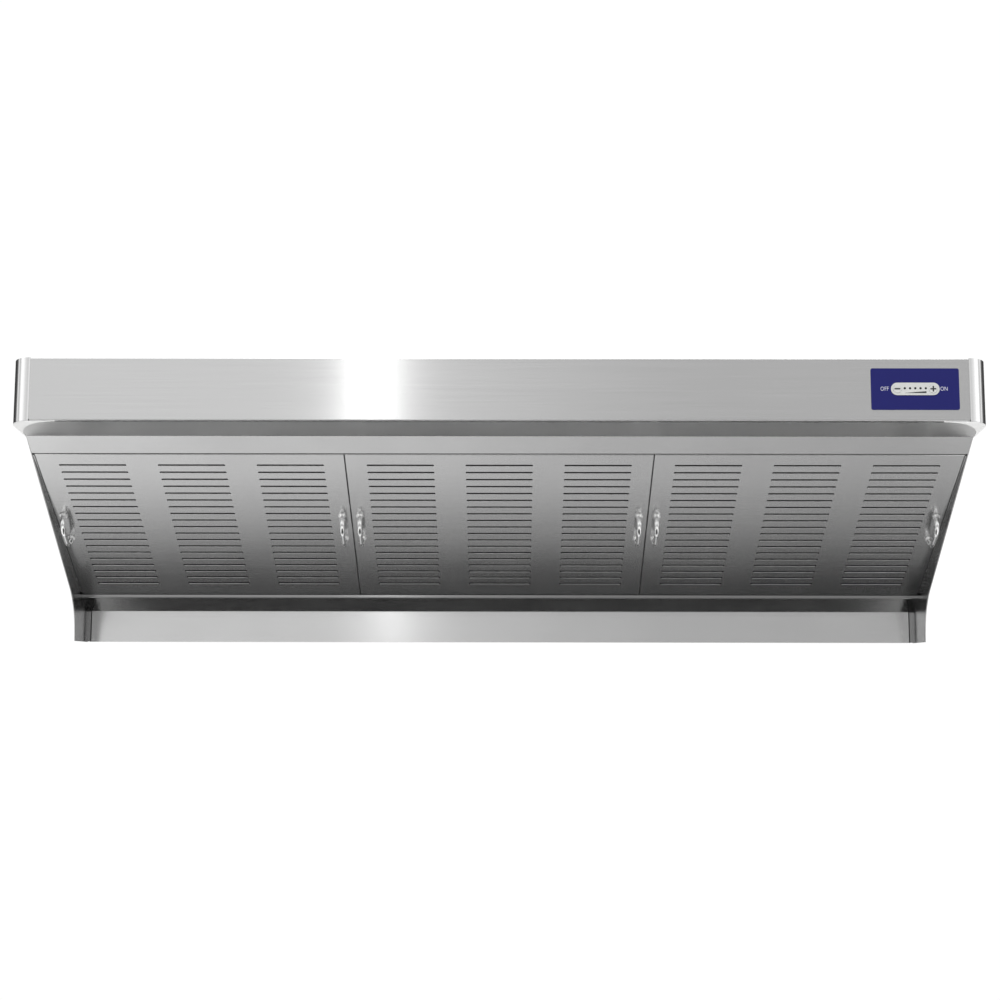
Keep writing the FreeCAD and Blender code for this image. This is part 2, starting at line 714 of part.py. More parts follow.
def scroll_side():
    """Right side plate of the scroll with its rolled inlet ring."""
    x0 = SCROLL_HALF_WIDTH + SEAM
    outer = spiral_points(SHEET)
    _, y_out = outlet_span()
    rear_top = V(0, outer[-1].y, UNDER_LID)
    front_top = V(0, y_out[0] - SHEET, UNDER_LID)
    edges = [
        smooth_edge(outer),
        Part.makeLine(outer[-1], rear_top),
        Part.makeLine(rear_top, front_top),
        Part.makeLine(front_top, outer[0]),
    ]
    side = Part.Face(Part.Wire(edges)).extrude(V(SHEET, 0, 0))
    side.translate(V(x0, 0, 0))
    side = side.cut(rod(fan_centre(x0 - 5), V(1, 0, 0), INLET_R, 10))
    collar = tube(fan_centre(x0 - INLET_COLLAR), V(1, 0, 0), INLET_R + SHEET, INLET_R, INLET_COLLAR + SHEET)
    return side.fuse(collar).removeSplitter()


def outlet_flange():
    """Frame that clamps the scroll's outlet under the top panel."""
    x_out, y_out = outlet_span()
    clear = 2 * SHEET + 2 * SEAM
    out = clear + FLANGE_RIM
    z0, z1 = UNDER_LID - FLANGE_THICK, UNDER_LID
    outer = block(x_out[0] - out, x_out[1] + out, y_out[0] - out, y_out[1] + out, z0, z1)
    inner = block(x_out[0] - clear, x_out[1] + clear, y_out[0] - clear, y_out[1] + clear, z0 - 9, z1 + 9)
    return outer.cut(inner)


def impeller_wheel():
    """Hub, centre disc and the two end rings of the double-inlet wheel."""
    disc = rod(fan_centre(-DISC_THICK / 2), V(1, 0, 0), WHEEL_R, DISC_THICK)
    hub = rod(fan_centre(HUB_X[0]), V(1, 0, 0), HUB_R, HUB_X[1] - HUB_X[0])
    wheel = disc.fuse(hub)
    for x in (-WHEEL_HALF_WIDTH, WHEEL_HALF_WIDTH - WHEEL_RING):
        ring = tube(fan_centre(x), V(1, 0, 0), WHEEL_R + RING_PROUD, BLADE_INNER_R, WHEEL_RING)
        wheel = wheel.fuse(ring)
    wheel = wheel.cut(rod(fan_centre(-40), V(1, 0, 0), SHAFT_R, 80))
    return wheel


def blade(x0, x1):
    """One forward-curved blade, standing at the bottom of the wheel."""
    inner_r = BLADE_INNER_R + BLADE_FIT
    outer_r = WHEEL_R - BLADE_FIT
    middle_r = (inner_r + outer_r) / 2

    def arc_points(turn):
        stations = ((inner_r, 0.0), (middle_r, BLADE_BELLY_DEG), (outer_r, BLADE_TIP_DEG))
        angles = [(radius, math.radians(degrees) + turn) for radius, degrees in stations]
        return [V(x0, r * math.sin(angle), -r * math.cos(angle)) for r, angle in angles]

    front = arc_points(0.0)
    rear = arc_points(BLADE_THICK / middle_r)
    outline = Part.Wire([
        Part.Arc(*front).toShape(),
        Part.makeLine(front[-1], rear[-1]),
        Part.Arc(*rear[::-1]).toShape(),
        Part.makeLine(rear[0], front[0]),
    ])
    return Part.Face(outline).extrude(V(x1 - x0, 0, 0))


def impeller_blades():
    halves = (
        (-WHEEL_HALF_WIDTH + WHEEL_RING, -DISC_THICK / 2),
        (DISC_THICK / 2, WHEEL_HALF_WIDTH - WHEEL_RING),
    )
    blades = []
    for x0, x1 in halves:
        first = blade(x0, x1)
        for i in range(BLADES):
            vane = first.copy()
            vane.rotate(V(0, 0, 0), V(1, 0, 0), 360.0 * i / BLADES)
            vane.translate(fan_centre())
            blades.append(vane)
    return blades


def motor_shaft():
    overhang = 4.0
    x0, x1 = HUB_X[0] - overhang, MOTOR_X[1] + overhang
    return rod(fan_centre(x0), V(1, 0, 0), SHAFT_R, x1 - x0)


def motor():
    """Round motor body with end shields and cooling fins, bored for its shaft."""
    x0, x1 = MOTOR_X
    body = rod(fan_centre(x0), V(1, 0, 0), MOTOR_R, x1 - x0)
    rims = [e for e in body.Edges if e.Length > 6 * MOTOR_R - 10]
    body = body.makeFillet(MOTOR_EDGE_R, rims)
    for i in range(MOTOR_GROOVES):
        start = fan_centre(x0 + MOTOR_GROOVE_START + MOTOR_GROOVE_PITCH * i)
        floor_r = MOTOR_R - MOTOR_GROOVE_DEPTH
        body = body.cut(tube(start, V(1, 0, 0), MOTOR_R + 1, floor_r, MOTOR_GROOVE_WIDTH))
    return body.cut(rod(fan_centre(x0 - 9), V(1, 0, 0), SHAFT_R + SHAFT_CLEARANCE, x1 - x0 + 18))


def motor_bracket():
    """Clamp ring round the motor's tail with three arms to the side plate."""
    x0 = SCROLL_HALF_WIDTH + 2 * SEAM + SHEET
    bracket = tube(fan_centre(x0), V(1, 0, 0), MOTOR_R + BRACKET_RING, MOTOR_R, BRACKET_WIDTH)
    tip = INLET_R + ARM_REACH
    for i in range(BRACKET_ARMS):
        arm = block(x0, x0 + ARM_THICK, MOTOR_R + 1, tip, -ARM_HALF_WIDTH, ARM_HALF_WIDTH)
        arm.rotate(V(0, 0, 0), V(1, 0, 0), 90 + 360 * i / BRACKET_ARMS)
        arm.translate(fan_centre())
        bracket = bracket.fuse(arm)
    return bracket.removeSplitter()


def duct_collar():
    """Square plate with the round spigot that the duct slides over."""
    x, y = 0.0, sum(outlet_span()[1]) / 2
    half = COLLAR_PLATE / 2
    z0 = Z_TOP + SEAM
    outline = rectangle(x - half, x + half, y - half, -COLLAR_REAR_GAP, 6.0)
    base = plate(outline, in_xy(z0), V(0, 0, COLLAR_THICK))
    spigot = rod(V(x, y, z0), V(0, 0, 1), SPIGOT_R, SPIGOT_HEIGHT)
    hole = rod(V(x, y, z0 - 5), V(0, 0, 1), SPIGOT_R - COLLAR_WALL, SPIGOT_HEIGHT + 10)
    collar = base.fuse(spigot).cut(hole)
    for point in collar_screw_points():
        collar = collar.cut(rod(point + V(0, 0, -20), V(0, 0, 1), SCREW_SHANK_R + SEAM, 40))
    return collar.removeSplitter()


def collar_screw_points():
    """Where the collar's screws meet its plate, at its four corners."""
    y = sum(outlet_span()[1]) / 2
    half = COLLAR_PLATE / 2 - COLLAR_SCREW_INSET
    rear = -COLLAR_REAR_GAP - COLLAR_SCREW_INSET
    level = Z_TOP + SEAM + COLLAR_THICK + SEAM
    return [V(x, row, level) for x in (-half, half) for row in (y - half, rear)]


def collar_screws():
    return [pan_head(p, V(0, 0, -1), 4.0, 2.4, SCREW_SHANK_R, 10) for p in collar_screw_points()]


# ---- electrics --------------------------------------------------------------------------
def gland_centre():
    return V(GLAND_X, GLAND_Y, Z_TOP)


def hexagon_bar(centre, across_flats, height):
    radius = across_flats / math.sqrt(3)
    corners = [
        centre + V(radius * math.cos(math.radians(60 * k)), radius * math.sin(math.radians(60 * k)), 0)
        for k in range(7)
    ]
    return Part.Face(Part.makePolygon(corners)).extrude(V(0, 0, height))


def cable_gland():
    """Supply inlet: hexagon, domed compression cap and a thread through the top panel."""
    base = gland_centre() + V(0, 0, SEAM)
    body = hexagon_bar(base, GLAND_FLATS, GLAND_HEX_HEIGHT)
    cap = Part.makeCone(*GLAND_CAP, base + V(0, 0, GLAND_HEX_HEIGHT), V(0, 0, 1))
    foot = base + V(0, 0, -GLAND_THREAD_LENGTH)
    thread = rod(foot, V(0, 0, 1), GLAND_THREAD_R, GLAND_THREAD_LENGTH)
    gland = body.fuse(cap).fuse(thread)
    gland = gland.cut(rod(base + V(0, 0, -20), V(0, 0, 1), GLAND_BORE_R, 60))
    return gland.removeSplitter()


def supply_box():
    """Terminal box under the top panel, round the gland's thread."""
    c = gland_centre()
    half_x, half_y, height = SUPPLY_BOX
    z0, z1 = UNDER_LID - height, UNDER_LID
    outer = block(c.x - half_x, c.x + half_x, c.y - half_y, c.y + half_y, z0, z1)
    outer = outer.makeFillet(BOX_CORNER_R, edges_along(outer, V(0, 0, 1)))
    half_x, half_y = half_x - SUPPLY_WALL, half_y - SUPPLY_WALL
    inner = block(c.x - half_x, c.x + half_x, c.y - half_y, c.y + half_y, z0 + SUPPLY_WALL, z1 - SUPPLY_WALL)
    hole = rod(c + V(0, 0, -30), V(0, 0, 1), GLAND_THREAD_R + SEAM, 60)
    return outer.cut(inner).cut(hole)


# ---- controls ---------------------------------------------------------------------------
def plate_centre(y=Y_FRONT):
    return V(PLATE_X, y, Z_TOP - PLATE_DROP)


def key_centres():
    reach = (PILL_LENGTH - PILL_HEIGHT) / 2
    return [plate_centre() + V(side * reach, 0, 0) for side in (-1, 1)]


def key_holes(radius):
    return [rod(c + V(0, -9, 0), V(0, 1, 0), radius, 18) for c in key_centres()]


def led_centres():
    middle = (LED_COUNT - 1) / 2
    return [plate_centre() + V((i - middle) * LED_PITCH, 0, LED_RISE) for i in range(LED_COUNT)]


def led_window():
    """Cut-out behind the LED row."""
    c = plate_centre()
    reach = LED_PITCH * LED_COUNT / 2 - 2
    return block(c.x - reach, c.x + reach, Y_FRONT - 9, Y_FRONT + 9, c.z - 6, c.z + 8)


def control_plate():
    """Coloured front plate of the controls, bonded to the fascia."""
    c = plate_centre()
    outline = rectangle(c.x - PLATE_WIDTH / 2, c.x + PLATE_WIDTH / 2,
                        c.z - PLATE_HEIGHT / 2, c.z + PLATE_HEIGHT / 2, PLATE_CORNER_R)
    front = plate(outline, in_xz(Y_FRONT - PLATE_THICK), V(0, PLATE_THICK, 0))
    for cutter in key_holes(KEY_R + RUN_GAP) + [led_window()]:
        front = front.cut(cutter)
    return front


def keypad_bezel():
    """Pill-shaped raised pad that frames the two keys and the level lights."""
    c = plate_centre()
    y0 = Y_FRONT - PLATE_THICK - PILL_THICK
    outline = rectangle(c.x - PILL_LENGTH / 2, c.x + PILL_LENGTH / 2,
                        c.z - PILL_HEIGHT / 2, c.z + PILL_HEIGHT / 2, PILL_HEIGHT / 2 - 0.05)
    pad = plate(outline, in_xz(y0), V(0, PILL_THICK, 0))
    for hole in key_holes(KEY_R + RUN_GAP / 2):
        pad = pad.cut(hole)
    for centre in led_centres():
        pad = pad.cut(rod(centre + V(0, -9, 0), V(0, 1, 0), LED_R + SEAM / 2, 18))
    return pad


def level_lights():
    """Light pipes of the speed display, from the board to the pad's face."""
    lights = []
    for centre in led_centres():
        start = centre + V(0, -PLATE_THICK - PILL_THICK, 0)
        lights.append(rod(start, V(0, 1, 0), LED_R, PLATE_THICK + PILL_THICK + 6))
    return lights


def key(centre):
    """Round key cap with a rounded rim."""
    cap = rod(V(centre.x, KEY_FRONT_Y, centre.z), V(0, 1, 0), KEY_R, KEY_LENGTH)
    rim = [e for e in cap.Edges if abs(e.CenterOfMass.y - KEY_FRONT_Y) < 0.01]
    return cap.makeFillet(0.5, rim)


def control_box():
    """Plastic tub behind the fascia, open towards the keys."""
    c = plate_centre()
    y0 = Y_FRONT + SHEET + SEAM
    outer = block(c.x - BOX_X / 2, c.x + BOX_X / 2, y0, y0 + BOX_DEPTH, c.z - BOX_Z / 2, c.z + BOX_Z / 2)
    outer = outer.makeFillet(BOX_CORNER_R, edges_along(outer, V(0, 1, 0)))
    half_x, half_z = BOX_X / 2 - BOX_WALL, BOX_Z / 2 - BOX_WALL
    inner = block(c.x - half_x, c.x + half_x, y0 - 1, y0 + BOX_DEPTH - BOX_WALL, c.z - half_z, c.z + half_z)
    tub = outer.cut(inner)
    behind_board = BOARD_Y + BOARD_THICK + SEAM
    for x in (c.x - POST_X, c.x + POST_X):
        for z in (c.z - POST_Z, c.z + POST_Z):
            post = rod(V(x, behind_board, z), V(0, 1, 0), POST_R, BOX_DEPTH)
            tub = tub.fuse(post.common(outer))
    return tub.removeSplitter()


def control_board():
    """Circuit board with the power devices' block on its back."""
    c = plate_centre()
    half_x, half_z = BOX_X / 2 - BOARD_MARGIN, BOX_Z / 2 - BOARD_MARGIN
    rear = BOARD_Y + BOARD_THICK
    board = block(c.x - half_x, c.x + half_x, BOARD_Y, rear, c.z - half_z, c.z + half_z)
    relay_x, relay_z, relay_height = RELAY
    relay = block(c.x - relay_x, c.x + relay_x, rear, rear + relay_height, c.z - relay_z, c.z + relay_z)
    return board.fuse(relay).removeSplitter()


def key_switches():
    """One tact switch behind each key."""
    switches = []
    tip = KEY_FRONT_Y + KEY_LENGTH + KEY_TRAVEL + RUN_GAP
    half = SWITCH_HALF
    for c in key_centres():
        body = block(c.x - half, c.x + half, tip + 2, BOARD_Y - SEAM, c.z - half, c.z + half)
        plunger = rod(V(c.x, tip, c.z), V(0, 1, 0), PLUNGER_R, 3)
        switches.append(body.fuse(plunger).removeSplitter())
    return switches


# ---- export -----------------------------------------------------------------------------
def save(name, solids):
    shape = solids if isinstance(solids, Part.Shape) else Part.makeCompound(solids)
    flaws = [s for s in shape.Solids if not s.isValid()]
    print(f"{name:28s} solids {len(shape.Solids):3d} volume {shape.Volume / 1000:10.2f} cm3 flaws {len(flaws)}")
    shape.exportStep(os.path.join("parts", name + ".step"))


def main():
    os.makedirs("parts", exist_ok=True)

    save("fascia_panel", fascia_panel())
    save("right_corner_cap", corner_cap())
    save("left_corner_cap", mirrored(corner_cap()))
    save("right_corner_gusset", corner_gusset())
    save("left_corner_gusset", mirrored(corner_gusset()))
    save("right_cheek", cheek())
    save("left_cheek", mirrored(cheek()))
    save("underside_lip", underside_lip())
    save("header_trim", header_trim())
    save("top_panel", top_panel())
    save("back_panel", back_panel())
    save("upper_wall_rail", wall_rail(FIXING_SPACING_Z / 2))
    save("lower_wall_rail", wall_rail(-FIXING_SPACING_Z / 2))
    save("grease_gutter", grease_gutter())

    save("right_side_rail", side_rail())
    save("left_side_rail", mirrored(side_rail()))
    save("left_filter_divider", filter_divider(-CASSETTE_PITCH / 2))
    save("right_filter_divider", filter_divider(CASSETTE_PITCH / 2))
    save("filter_catches", filter_catches())

    for name, centre in zip(CASSETTE_NAMES, cassette_centres()):
        save(f"{name}_filter_face", cassette_face(centre))
        save(f"{name}_filter_baffle", cassette_baffle(centre))
        save(f"{name}_filter_back", cassette_back(centre))
        save(f"{name}_filter_handles", cassette_handles(centre))
        save(f"{name}_filter_nuts", handle_nuts(centre))

    save("scroll_wrapper", scroll_wrapper())
    save("right_scroll_side", scroll_side())
    save("left_scroll_side", mirrored(scroll_side()))
    save("outlet_flange", outlet_flange())
    save("impeller_wheel", impeller_wheel())
    save("impeller_blades", impeller_blades())
    save("motor_shaft", motor_shaft())
    save("motor", motor())
    save("motor_bracket", motor_bracket())
    save("duct_collar", duct_collar())
    save("collar_screws", collar_screws())

    save("cable_gland", cable_gland())
    save("supply_box", supply_box())
    save("control_plate", control_plate())
    save("keypad_bezel", keypad_bezel())
    save("level_lights", level_lights())
    minus, plus = key_centres()
    save("minus_button", key(minus))
    save("plus_button", key(plus))
    save("control_box", control_box())
    save("control_board", control_board())
    save("key_switches", key_switches())


main()
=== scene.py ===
"""Looks of a wall-mounted extraction hood: finishes, fine parts, studio and camera.

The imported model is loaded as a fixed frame.  Every class below is one sub-assembly of the hood
or of the studio round it; each takes its places from the frame and its sizes from its fields.
"""

import json
import logging
import math
from dataclasses import dataclass, field
from enum import Enum
from typing import Any, Iterable, Union

import bmesh
import bpy
from mathutils import Matrix, Vector


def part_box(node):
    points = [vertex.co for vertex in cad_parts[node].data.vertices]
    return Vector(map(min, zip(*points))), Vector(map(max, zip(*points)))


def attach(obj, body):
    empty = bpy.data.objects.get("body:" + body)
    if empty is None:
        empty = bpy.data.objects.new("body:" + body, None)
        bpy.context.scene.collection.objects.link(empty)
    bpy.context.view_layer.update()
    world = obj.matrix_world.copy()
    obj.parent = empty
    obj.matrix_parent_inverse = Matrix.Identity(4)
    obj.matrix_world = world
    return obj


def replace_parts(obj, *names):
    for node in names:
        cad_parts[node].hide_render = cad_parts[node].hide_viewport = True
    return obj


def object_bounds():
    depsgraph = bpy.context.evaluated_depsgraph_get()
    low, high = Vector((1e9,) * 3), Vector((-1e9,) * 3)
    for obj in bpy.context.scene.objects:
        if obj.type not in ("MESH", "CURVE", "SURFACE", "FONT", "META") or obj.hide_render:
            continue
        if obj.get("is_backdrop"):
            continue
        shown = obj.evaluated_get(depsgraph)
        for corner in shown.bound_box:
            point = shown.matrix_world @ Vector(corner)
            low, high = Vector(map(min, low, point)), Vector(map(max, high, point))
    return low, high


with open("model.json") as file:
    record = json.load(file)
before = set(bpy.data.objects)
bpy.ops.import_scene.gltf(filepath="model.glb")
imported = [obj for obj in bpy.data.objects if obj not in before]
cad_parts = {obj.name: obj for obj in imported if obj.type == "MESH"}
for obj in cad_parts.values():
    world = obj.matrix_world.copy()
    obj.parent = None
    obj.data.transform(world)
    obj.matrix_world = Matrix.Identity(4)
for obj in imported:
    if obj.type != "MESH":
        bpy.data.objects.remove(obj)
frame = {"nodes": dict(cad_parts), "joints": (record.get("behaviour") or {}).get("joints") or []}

LOG = logging.getLogger("hood")
MM = 0.001
HANDS = {"left": -1, "right": 1}

Colour = tuple[float, float, float, float]
Corner = tuple[float, float]
Place = tuple[float, float, float]
Input = Union[str, int]
Size = Union[int, float, Vector]
Stops = tuple[tuple[float, float], ...]


# ---- small tools ------------------------------------------------------------------------
def linear(code: str) -> Colour:
    """Turn an sRGB hex colour into the linear colour that shaders take.

    Args:
        code: Colour as "#RRGGBB".

    Returns:
        Linear red, green, blue and a full alpha.
    """
    parts = []
    for start in (1, 3, 5):
        value = int(code[start:start + 2], 16) / 255.0
        parts.append(value / 12.92 if value <= 0.04045 else ((value + 0.055) / 1.055) ** 2.4)
    return parts[0], parts[1], parts[2], 1.0


def add_node(
    tree: bpy.types.NodeTree,
    kind: str,
    inputs: dict[Input, Any] | None = None,
    **settings: Any,
) -> bpy.types.Node:
    """Add a node, set it up and link it.

    Args:
        tree: Tree that takes the node.
        kind: Blender's name for the node's type.
        inputs: Input name or number, to its value or to the socket that feeds it.
        **settings: Properties of the node itself.

    Returns:
        The new node.
    """
    node = tree.nodes.new(kind)
    for name, value in settings.items():
        setattr(node, name, value)
    for key, value in (inputs or {}).items():
        if isinstance(value, bpy.types.NodeSocket):
            tree.links.new(value, node.inputs[key])
        else:
            node.inputs[key].default_value = value
    return node


def new_surface(
    name: str, kind: str = "ShaderNodeBsdfPrincipled"
) -> tuple[bpy.types.Material, bpy.types.NodeTree, bpy.types.Node]:
    """Make an empty node material.

    Args:
        name: Name of the material.
        kind: Type of its shader.

    Returns:
        The material, its tree and its shader, already linked to the output.
    """
    material = bpy.data.materials.new(name)
    material.use_nodes = True
    tree = material.node_tree
    tree.nodes.clear()
    shader = add_node(tree, kind)
    add_node(tree, "ShaderNodeOutputMaterial", {"Surface": shader.outputs[0]})
    return material, tree, shader


def lay_skin(
    tree: bpy.types.NodeTree, shader: bpy.types.Node, colour: str, tone: bpy.types.Node,
    rough: bpy.types.Node, height: bpy.types.NodeSocket, depth_mm: float, strength: float,
) -> None:
    """Feed a tinted colour, a roughness and a relief to a shader.

    Args:
        tree: Tree of the material.
        shader: Its Principled shader.
        colour: Base colour, as an sRGB hex value.
        tone: Node that brightens or darkens the colour.
        rough: Node that gives the roughness.
        height: Socket of the pattern that stands out of the surface.
        depth_mm: Depth of the relief.
        strength: Share of the relief that shows.
    """
    tinted = add_node(
        tree, "ShaderNodeVectorMath",
        {0: linear(colour)[:3], "Scale": tone.outputs[0]}, operation="SCALE",
    )
    relief = add_node(
        tree, "ShaderNodeBump", {"Height": height, "Distance": depth_mm * MM, "Strength": strength}
    )
    tree.links.new(tinted.outputs[0], shader.inputs["Base Color"])
    tree.links.new(rough.outputs[0], shader.inputs["Roughness"])
    tree.links.new(relief.outputs[0], shader.inputs["Normal"])


def dress(names: Iterable[str], material: bpy.types.Material) -> None:
    """Give CAD nodes a finish.

    Args:
        names: Nodes of the frame.
        material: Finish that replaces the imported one.
    """
    for name in names:
        node = frame["nodes"][name]
        node.data.materials.clear()
        node.data.materials.append(material)


def new_piece(name: str, body: str, mesh: bpy.types.Mesh) -> bpy.types.Object:
    """Put a finished mesh into the scene as a piece of the hood.

    Args:
        name: Name of the piece.
        body: CAD body that it moves with.
        mesh: Mesh in the row frame.

    Returns:
        The piece, at the origin and riding on its body.
    """
    piece = bpy.data.objects.new(name, mesh)
    bpy.context.scene.collection.objects.link(piece)
    mesh.name = name
    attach(piece, body)
    LOG.info("%s: %d faces on %s", name, len(mesh.polygons), body)
    return piece


def mesh_from(work: bmesh.types.BMesh, name: str, material: bpy.types.Material) -> bpy.types.Mesh:
    """Turn a working mesh into a kept one with outward faces.

    Args:
        work: Working mesh, which is freed.
        name: Name of the kept mesh.
        material: Finish of all its faces.

    Returns:
        The kept mesh.
    """
    bmesh.ops.remove_doubles(work, verts=work.verts, dist=1e-7)
    bmesh.ops.recalc_face_normals(work, faces=work.faces)
    mesh = bpy.data.meshes.new(name)
    work.to_mesh(mesh)
    work.free()
    mesh.materials.append(material)
    return mesh


# ---- finishes ---------------------------------------------------------------------------
class Lie(Enum):
    """How a brushed sheet lies in the hood, as the direction across its grain."""

    UPRIGHT = (0.0, 0.0, 1.0)
    LEVEL = (0.0, 1.0, 0.0)
    SLOPING = (0.0, 0.892, -0.452)


class Grain(Enum):
    """Axis that a sheet's brushing runs along, as its place in a vector."""

    ALONG_X = 0
    ALONG_Y = 1
    ALONG_Z = 2


@dataclass(frozen=True)
class BrushedSteel:
    """AISI 304 sheet ground with a belt: fine parallel lines that smear what it mirrors.

    Attributes:
        name: Name of the finish.
        colour: Colour of the metal.
        roughness: Mean roughness across the whole sheet.
        smear: How much further a reflection spreads across the grain than along it.
        lie: Direction across the grain.
        grain: Axis of the grain.
        line_mm: Length and width of a grinding line.  Real 180-grit lines are about 0.1 mm
            wide; these are drawn coarser so that they show.
        depth_mm: Depth of the lines.
    """

    name: str
    colour: str = "#CACACA"
    roughness: float = 0.22
    smear: float = 0.75
    lie: Lie = Lie.UPRIGHT
    grain: Grain = Grain.ALONG_X
    line_mm: tuple[float, float] = (260.0, 1.6)
    depth_mm: float = 0.010

    def material(self) -> bpy.types.Material:
        """Build the finish.

        Returns:
            The material.
        """
        surface, tree, shader = new_surface(self.name)
        length, width = (size * MM for size in self.line_mm)
        stretch = [1 / width] * 3
        stretch[self.grain.value] = 1 / length
        place = add_node(tree, "ShaderNodeTexCoord")
        lines_at = add_node(
            tree, "ShaderNodeMapping", {"Vector": place.outputs["Object"], "Scale": stretch}
        )
        lines = add_node(
            tree, "ShaderNodeTexNoise",
            {"Vector": lines_at.outputs[0], "Scale": 1.0, "Detail": 4.0, "Roughness": 0.65},
        )
        hand_marks = add_node(
            tree, "ShaderNodeTexNoise",
            {"Vector": place.outputs["Object"], "Scale": 1 / (220 * MM), "Detail": 3.0},
        )
        tone = add_node(
            tree, "ShaderNodeMapRange", {"Value": lines.outputs[0], "To Min": 0.90, "To Max": 1.05}
        )
        fine = add_node(
            tree, "ShaderNodeMapRange",
            {"Value": lines.outputs[0], "To Min": self.roughness * 0.8,
             "To Max": self.roughness * 1.2},
        )
        worn = add_node(
            tree, "ShaderNodeMapRange",
            {"Value": hand_marks.outputs[0], "From Min": 0.3, "From Max": 0.7,
             "To Min": 0.92, "To Max": 1.08},
        )
        rough = add_node(
            tree, "ShaderNodeMath", {0: fine.outputs[0], 1: worn.outputs[0]}, operation="MULTIPLY"
        )
        across = add_node(tree, "ShaderNodeCombineXYZ", dict(enumerate(self.lie.value)))
        lay_skin(tree, shader, self.colour, tone, rough, lines.outputs[0], self.depth_mm, 0.6)
        shader.inputs["Metallic"].default_value = 1.0
        shader.inputs["Anisotropic"].default_value = self.smear
        tree.links.new(across.outputs[0], shader.inputs["Tangent"])
        return surface


@dataclass(frozen=True)
class PlainMetal:
    """Metal with no direction of its own: cast, plated or ground, with a fine even tooth.

    Attributes:
        name: Name of the finish.
        colour: Colour of the metal.
        roughness: Mean roughness.
        tooth_mm: Size of the surface's tooth.
        depth_mm: Depth of the tooth.
        cloud: Share by which smudges change the roughness.
        metal: Share of bare metal; a blasted skin scatters the rest like a matte solid.
    """

    name: str
    colour: str
    roughness: float
    tooth_mm: float = 1.0
    depth_mm: float = 0.01
    cloud: float = 0.15
    metal: float = 1.0

    def material(self) -> bpy.types.Material:
        """Build the finish.

        Returns:
            The material.
        """
        surface, tree, shader = new_surface(self.name)
        place = add_node(tree, "ShaderNodeTexCoord")
        tooth = add_node(
            tree, "ShaderNodeTexNoise",
            {"Vector": place.outputs["Object"], "Scale": 1 / (self.tooth_mm * MM), "Detail": 3.0},
        )
        smudge = add_node(
            tree, "ShaderNodeTexNoise",
            {"Vector": place.outputs["Object"], "Scale": 1 / (60 * MM), "Detail": 2.0},
        )
        tone = add_node(
            tree, "ShaderNodeMapRange", {"Value": smudge.outputs[0], "To Min": 0.92, "To Max": 1.06}
        )
        rough = add_node(
            tree, "ShaderNodeMapRange",
            {"Value": smudge.outputs[0], "To Min": self.roughness * (1 - self.cloud),
             "To Max": self.roughness * (1 + self.cloud)},
        )
        lay_skin(tree, shader, self.colour, tone, rough, tooth.outputs[0], self.depth_mm, 0.5)
        shader.inputs["Metallic"].default_value = self.metal
        return surface


@dataclass(frozen=True)
class GalvanisedSteel:
    """Hot-dip galvanised sheet: zinc crystals, each with its own grey and gloss.

    Attributes:
        name: Name of the finish.
        colour: Mean colour of the zinc.
        spangle_mm: Size of a crystal.
        depth_mm: Height of one crystal over the next.
    """

    name: str
    colour: str = "#B9BDC0"
    spangle_mm: float = 9.0
    depth_mm: float = 0.02

    def material(self) -> bpy.types.Material:
        """Build the finish.

        Returns:
            The material.
        """
        surface, tree, shader = new_surface(self.name)
        place = add_node(tree, "ShaderNodeTexCoord")
        spangle = add_node(
            tree, "ShaderNodeTexVoronoi",
            {"Vector": place.outputs["Object"], "Scale": 1 / (self.spangle_mm * MM),
             "Randomness": 1.0},
        )
        facet = add_node(tree, "ShaderNodeSeparateColor", {"Color": spangle.outputs["Color"]})
        tone = add_node(
            tree, "ShaderNodeMapRange", {"Value": facet.outputs[0], "To Min": 0.78, "To Max": 1.1}
        )
        rough = add_node(
            tree, "ShaderNodeMapRange", {"Value": facet.outputs[1], "To Min": 0.28, "To Max": 0.5}
        )
        lay_skin(tree, shader, self.colour, tone, rough, facet.outputs[2], self.depth_mm, 0.4)
        shader.inputs["Metallic"].default_value = 1.0
        return surface


@dataclass(frozen=True)
class Plastic:
    """Moulded or printed plastic with the tooth that its tool or film gave it.

    Attributes:
        name: Name of the finish.
        colour: Colour of the plastic.
        roughness: Mean roughness.
        ior: Index of refraction.
        tooth_mm: Size of the surface's tooth.
        depth_mm: Depth of the tooth.
        shine: Level of the surface's own reflection, 0.5 for a bare plastic.
    """

    name: str
    colour: str
    roughness: float
    ior: float = 1.5
    tooth_mm: float = 0.8
    depth_mm: float = 0.02
    shine: float = 0.5

    def material(self) -> bpy.types.Material:
        """Build the finish.

        Returns:
            The material.
        """
        surface, tree, shader = new_surface(self.name)
        place = add_node(tree, "ShaderNodeTexCoord")
        tooth = add_node(
            tree, "ShaderNodeTexNoise",
            {"Vector": place.outputs["Object"], "Scale": 1 / (self.tooth_mm * MM), "Detail": 2.0},
        )
        handling = add_node(
            tree, "ShaderNodeTexNoise",
            {"Vector": place.outputs["Object"], "Scale": 1 / (35 * MM), "Detail": 3.0},
        )
        tone = add_node(
            tree, "ShaderNodeMapRange", {"Value": tooth.outputs[0], "To Min": 0.95, "To Max": 1.05}
        )
        rough = add_node(
            tree, "ShaderNodeMapRange",
            {"Value": handling.outputs[0], "To Min": self.roughness * 0.85,
             "To Max": self.roughness * 1.15},
        )
        lay_skin(tree, shader, self.colour, tone, rough, tooth.outputs[0], self.depth_mm, 0.35)
        shader.inputs["IOR"].default_value = self.ior
        shader.inputs["Specular IOR Level"].default_value = self.shine
        return surface


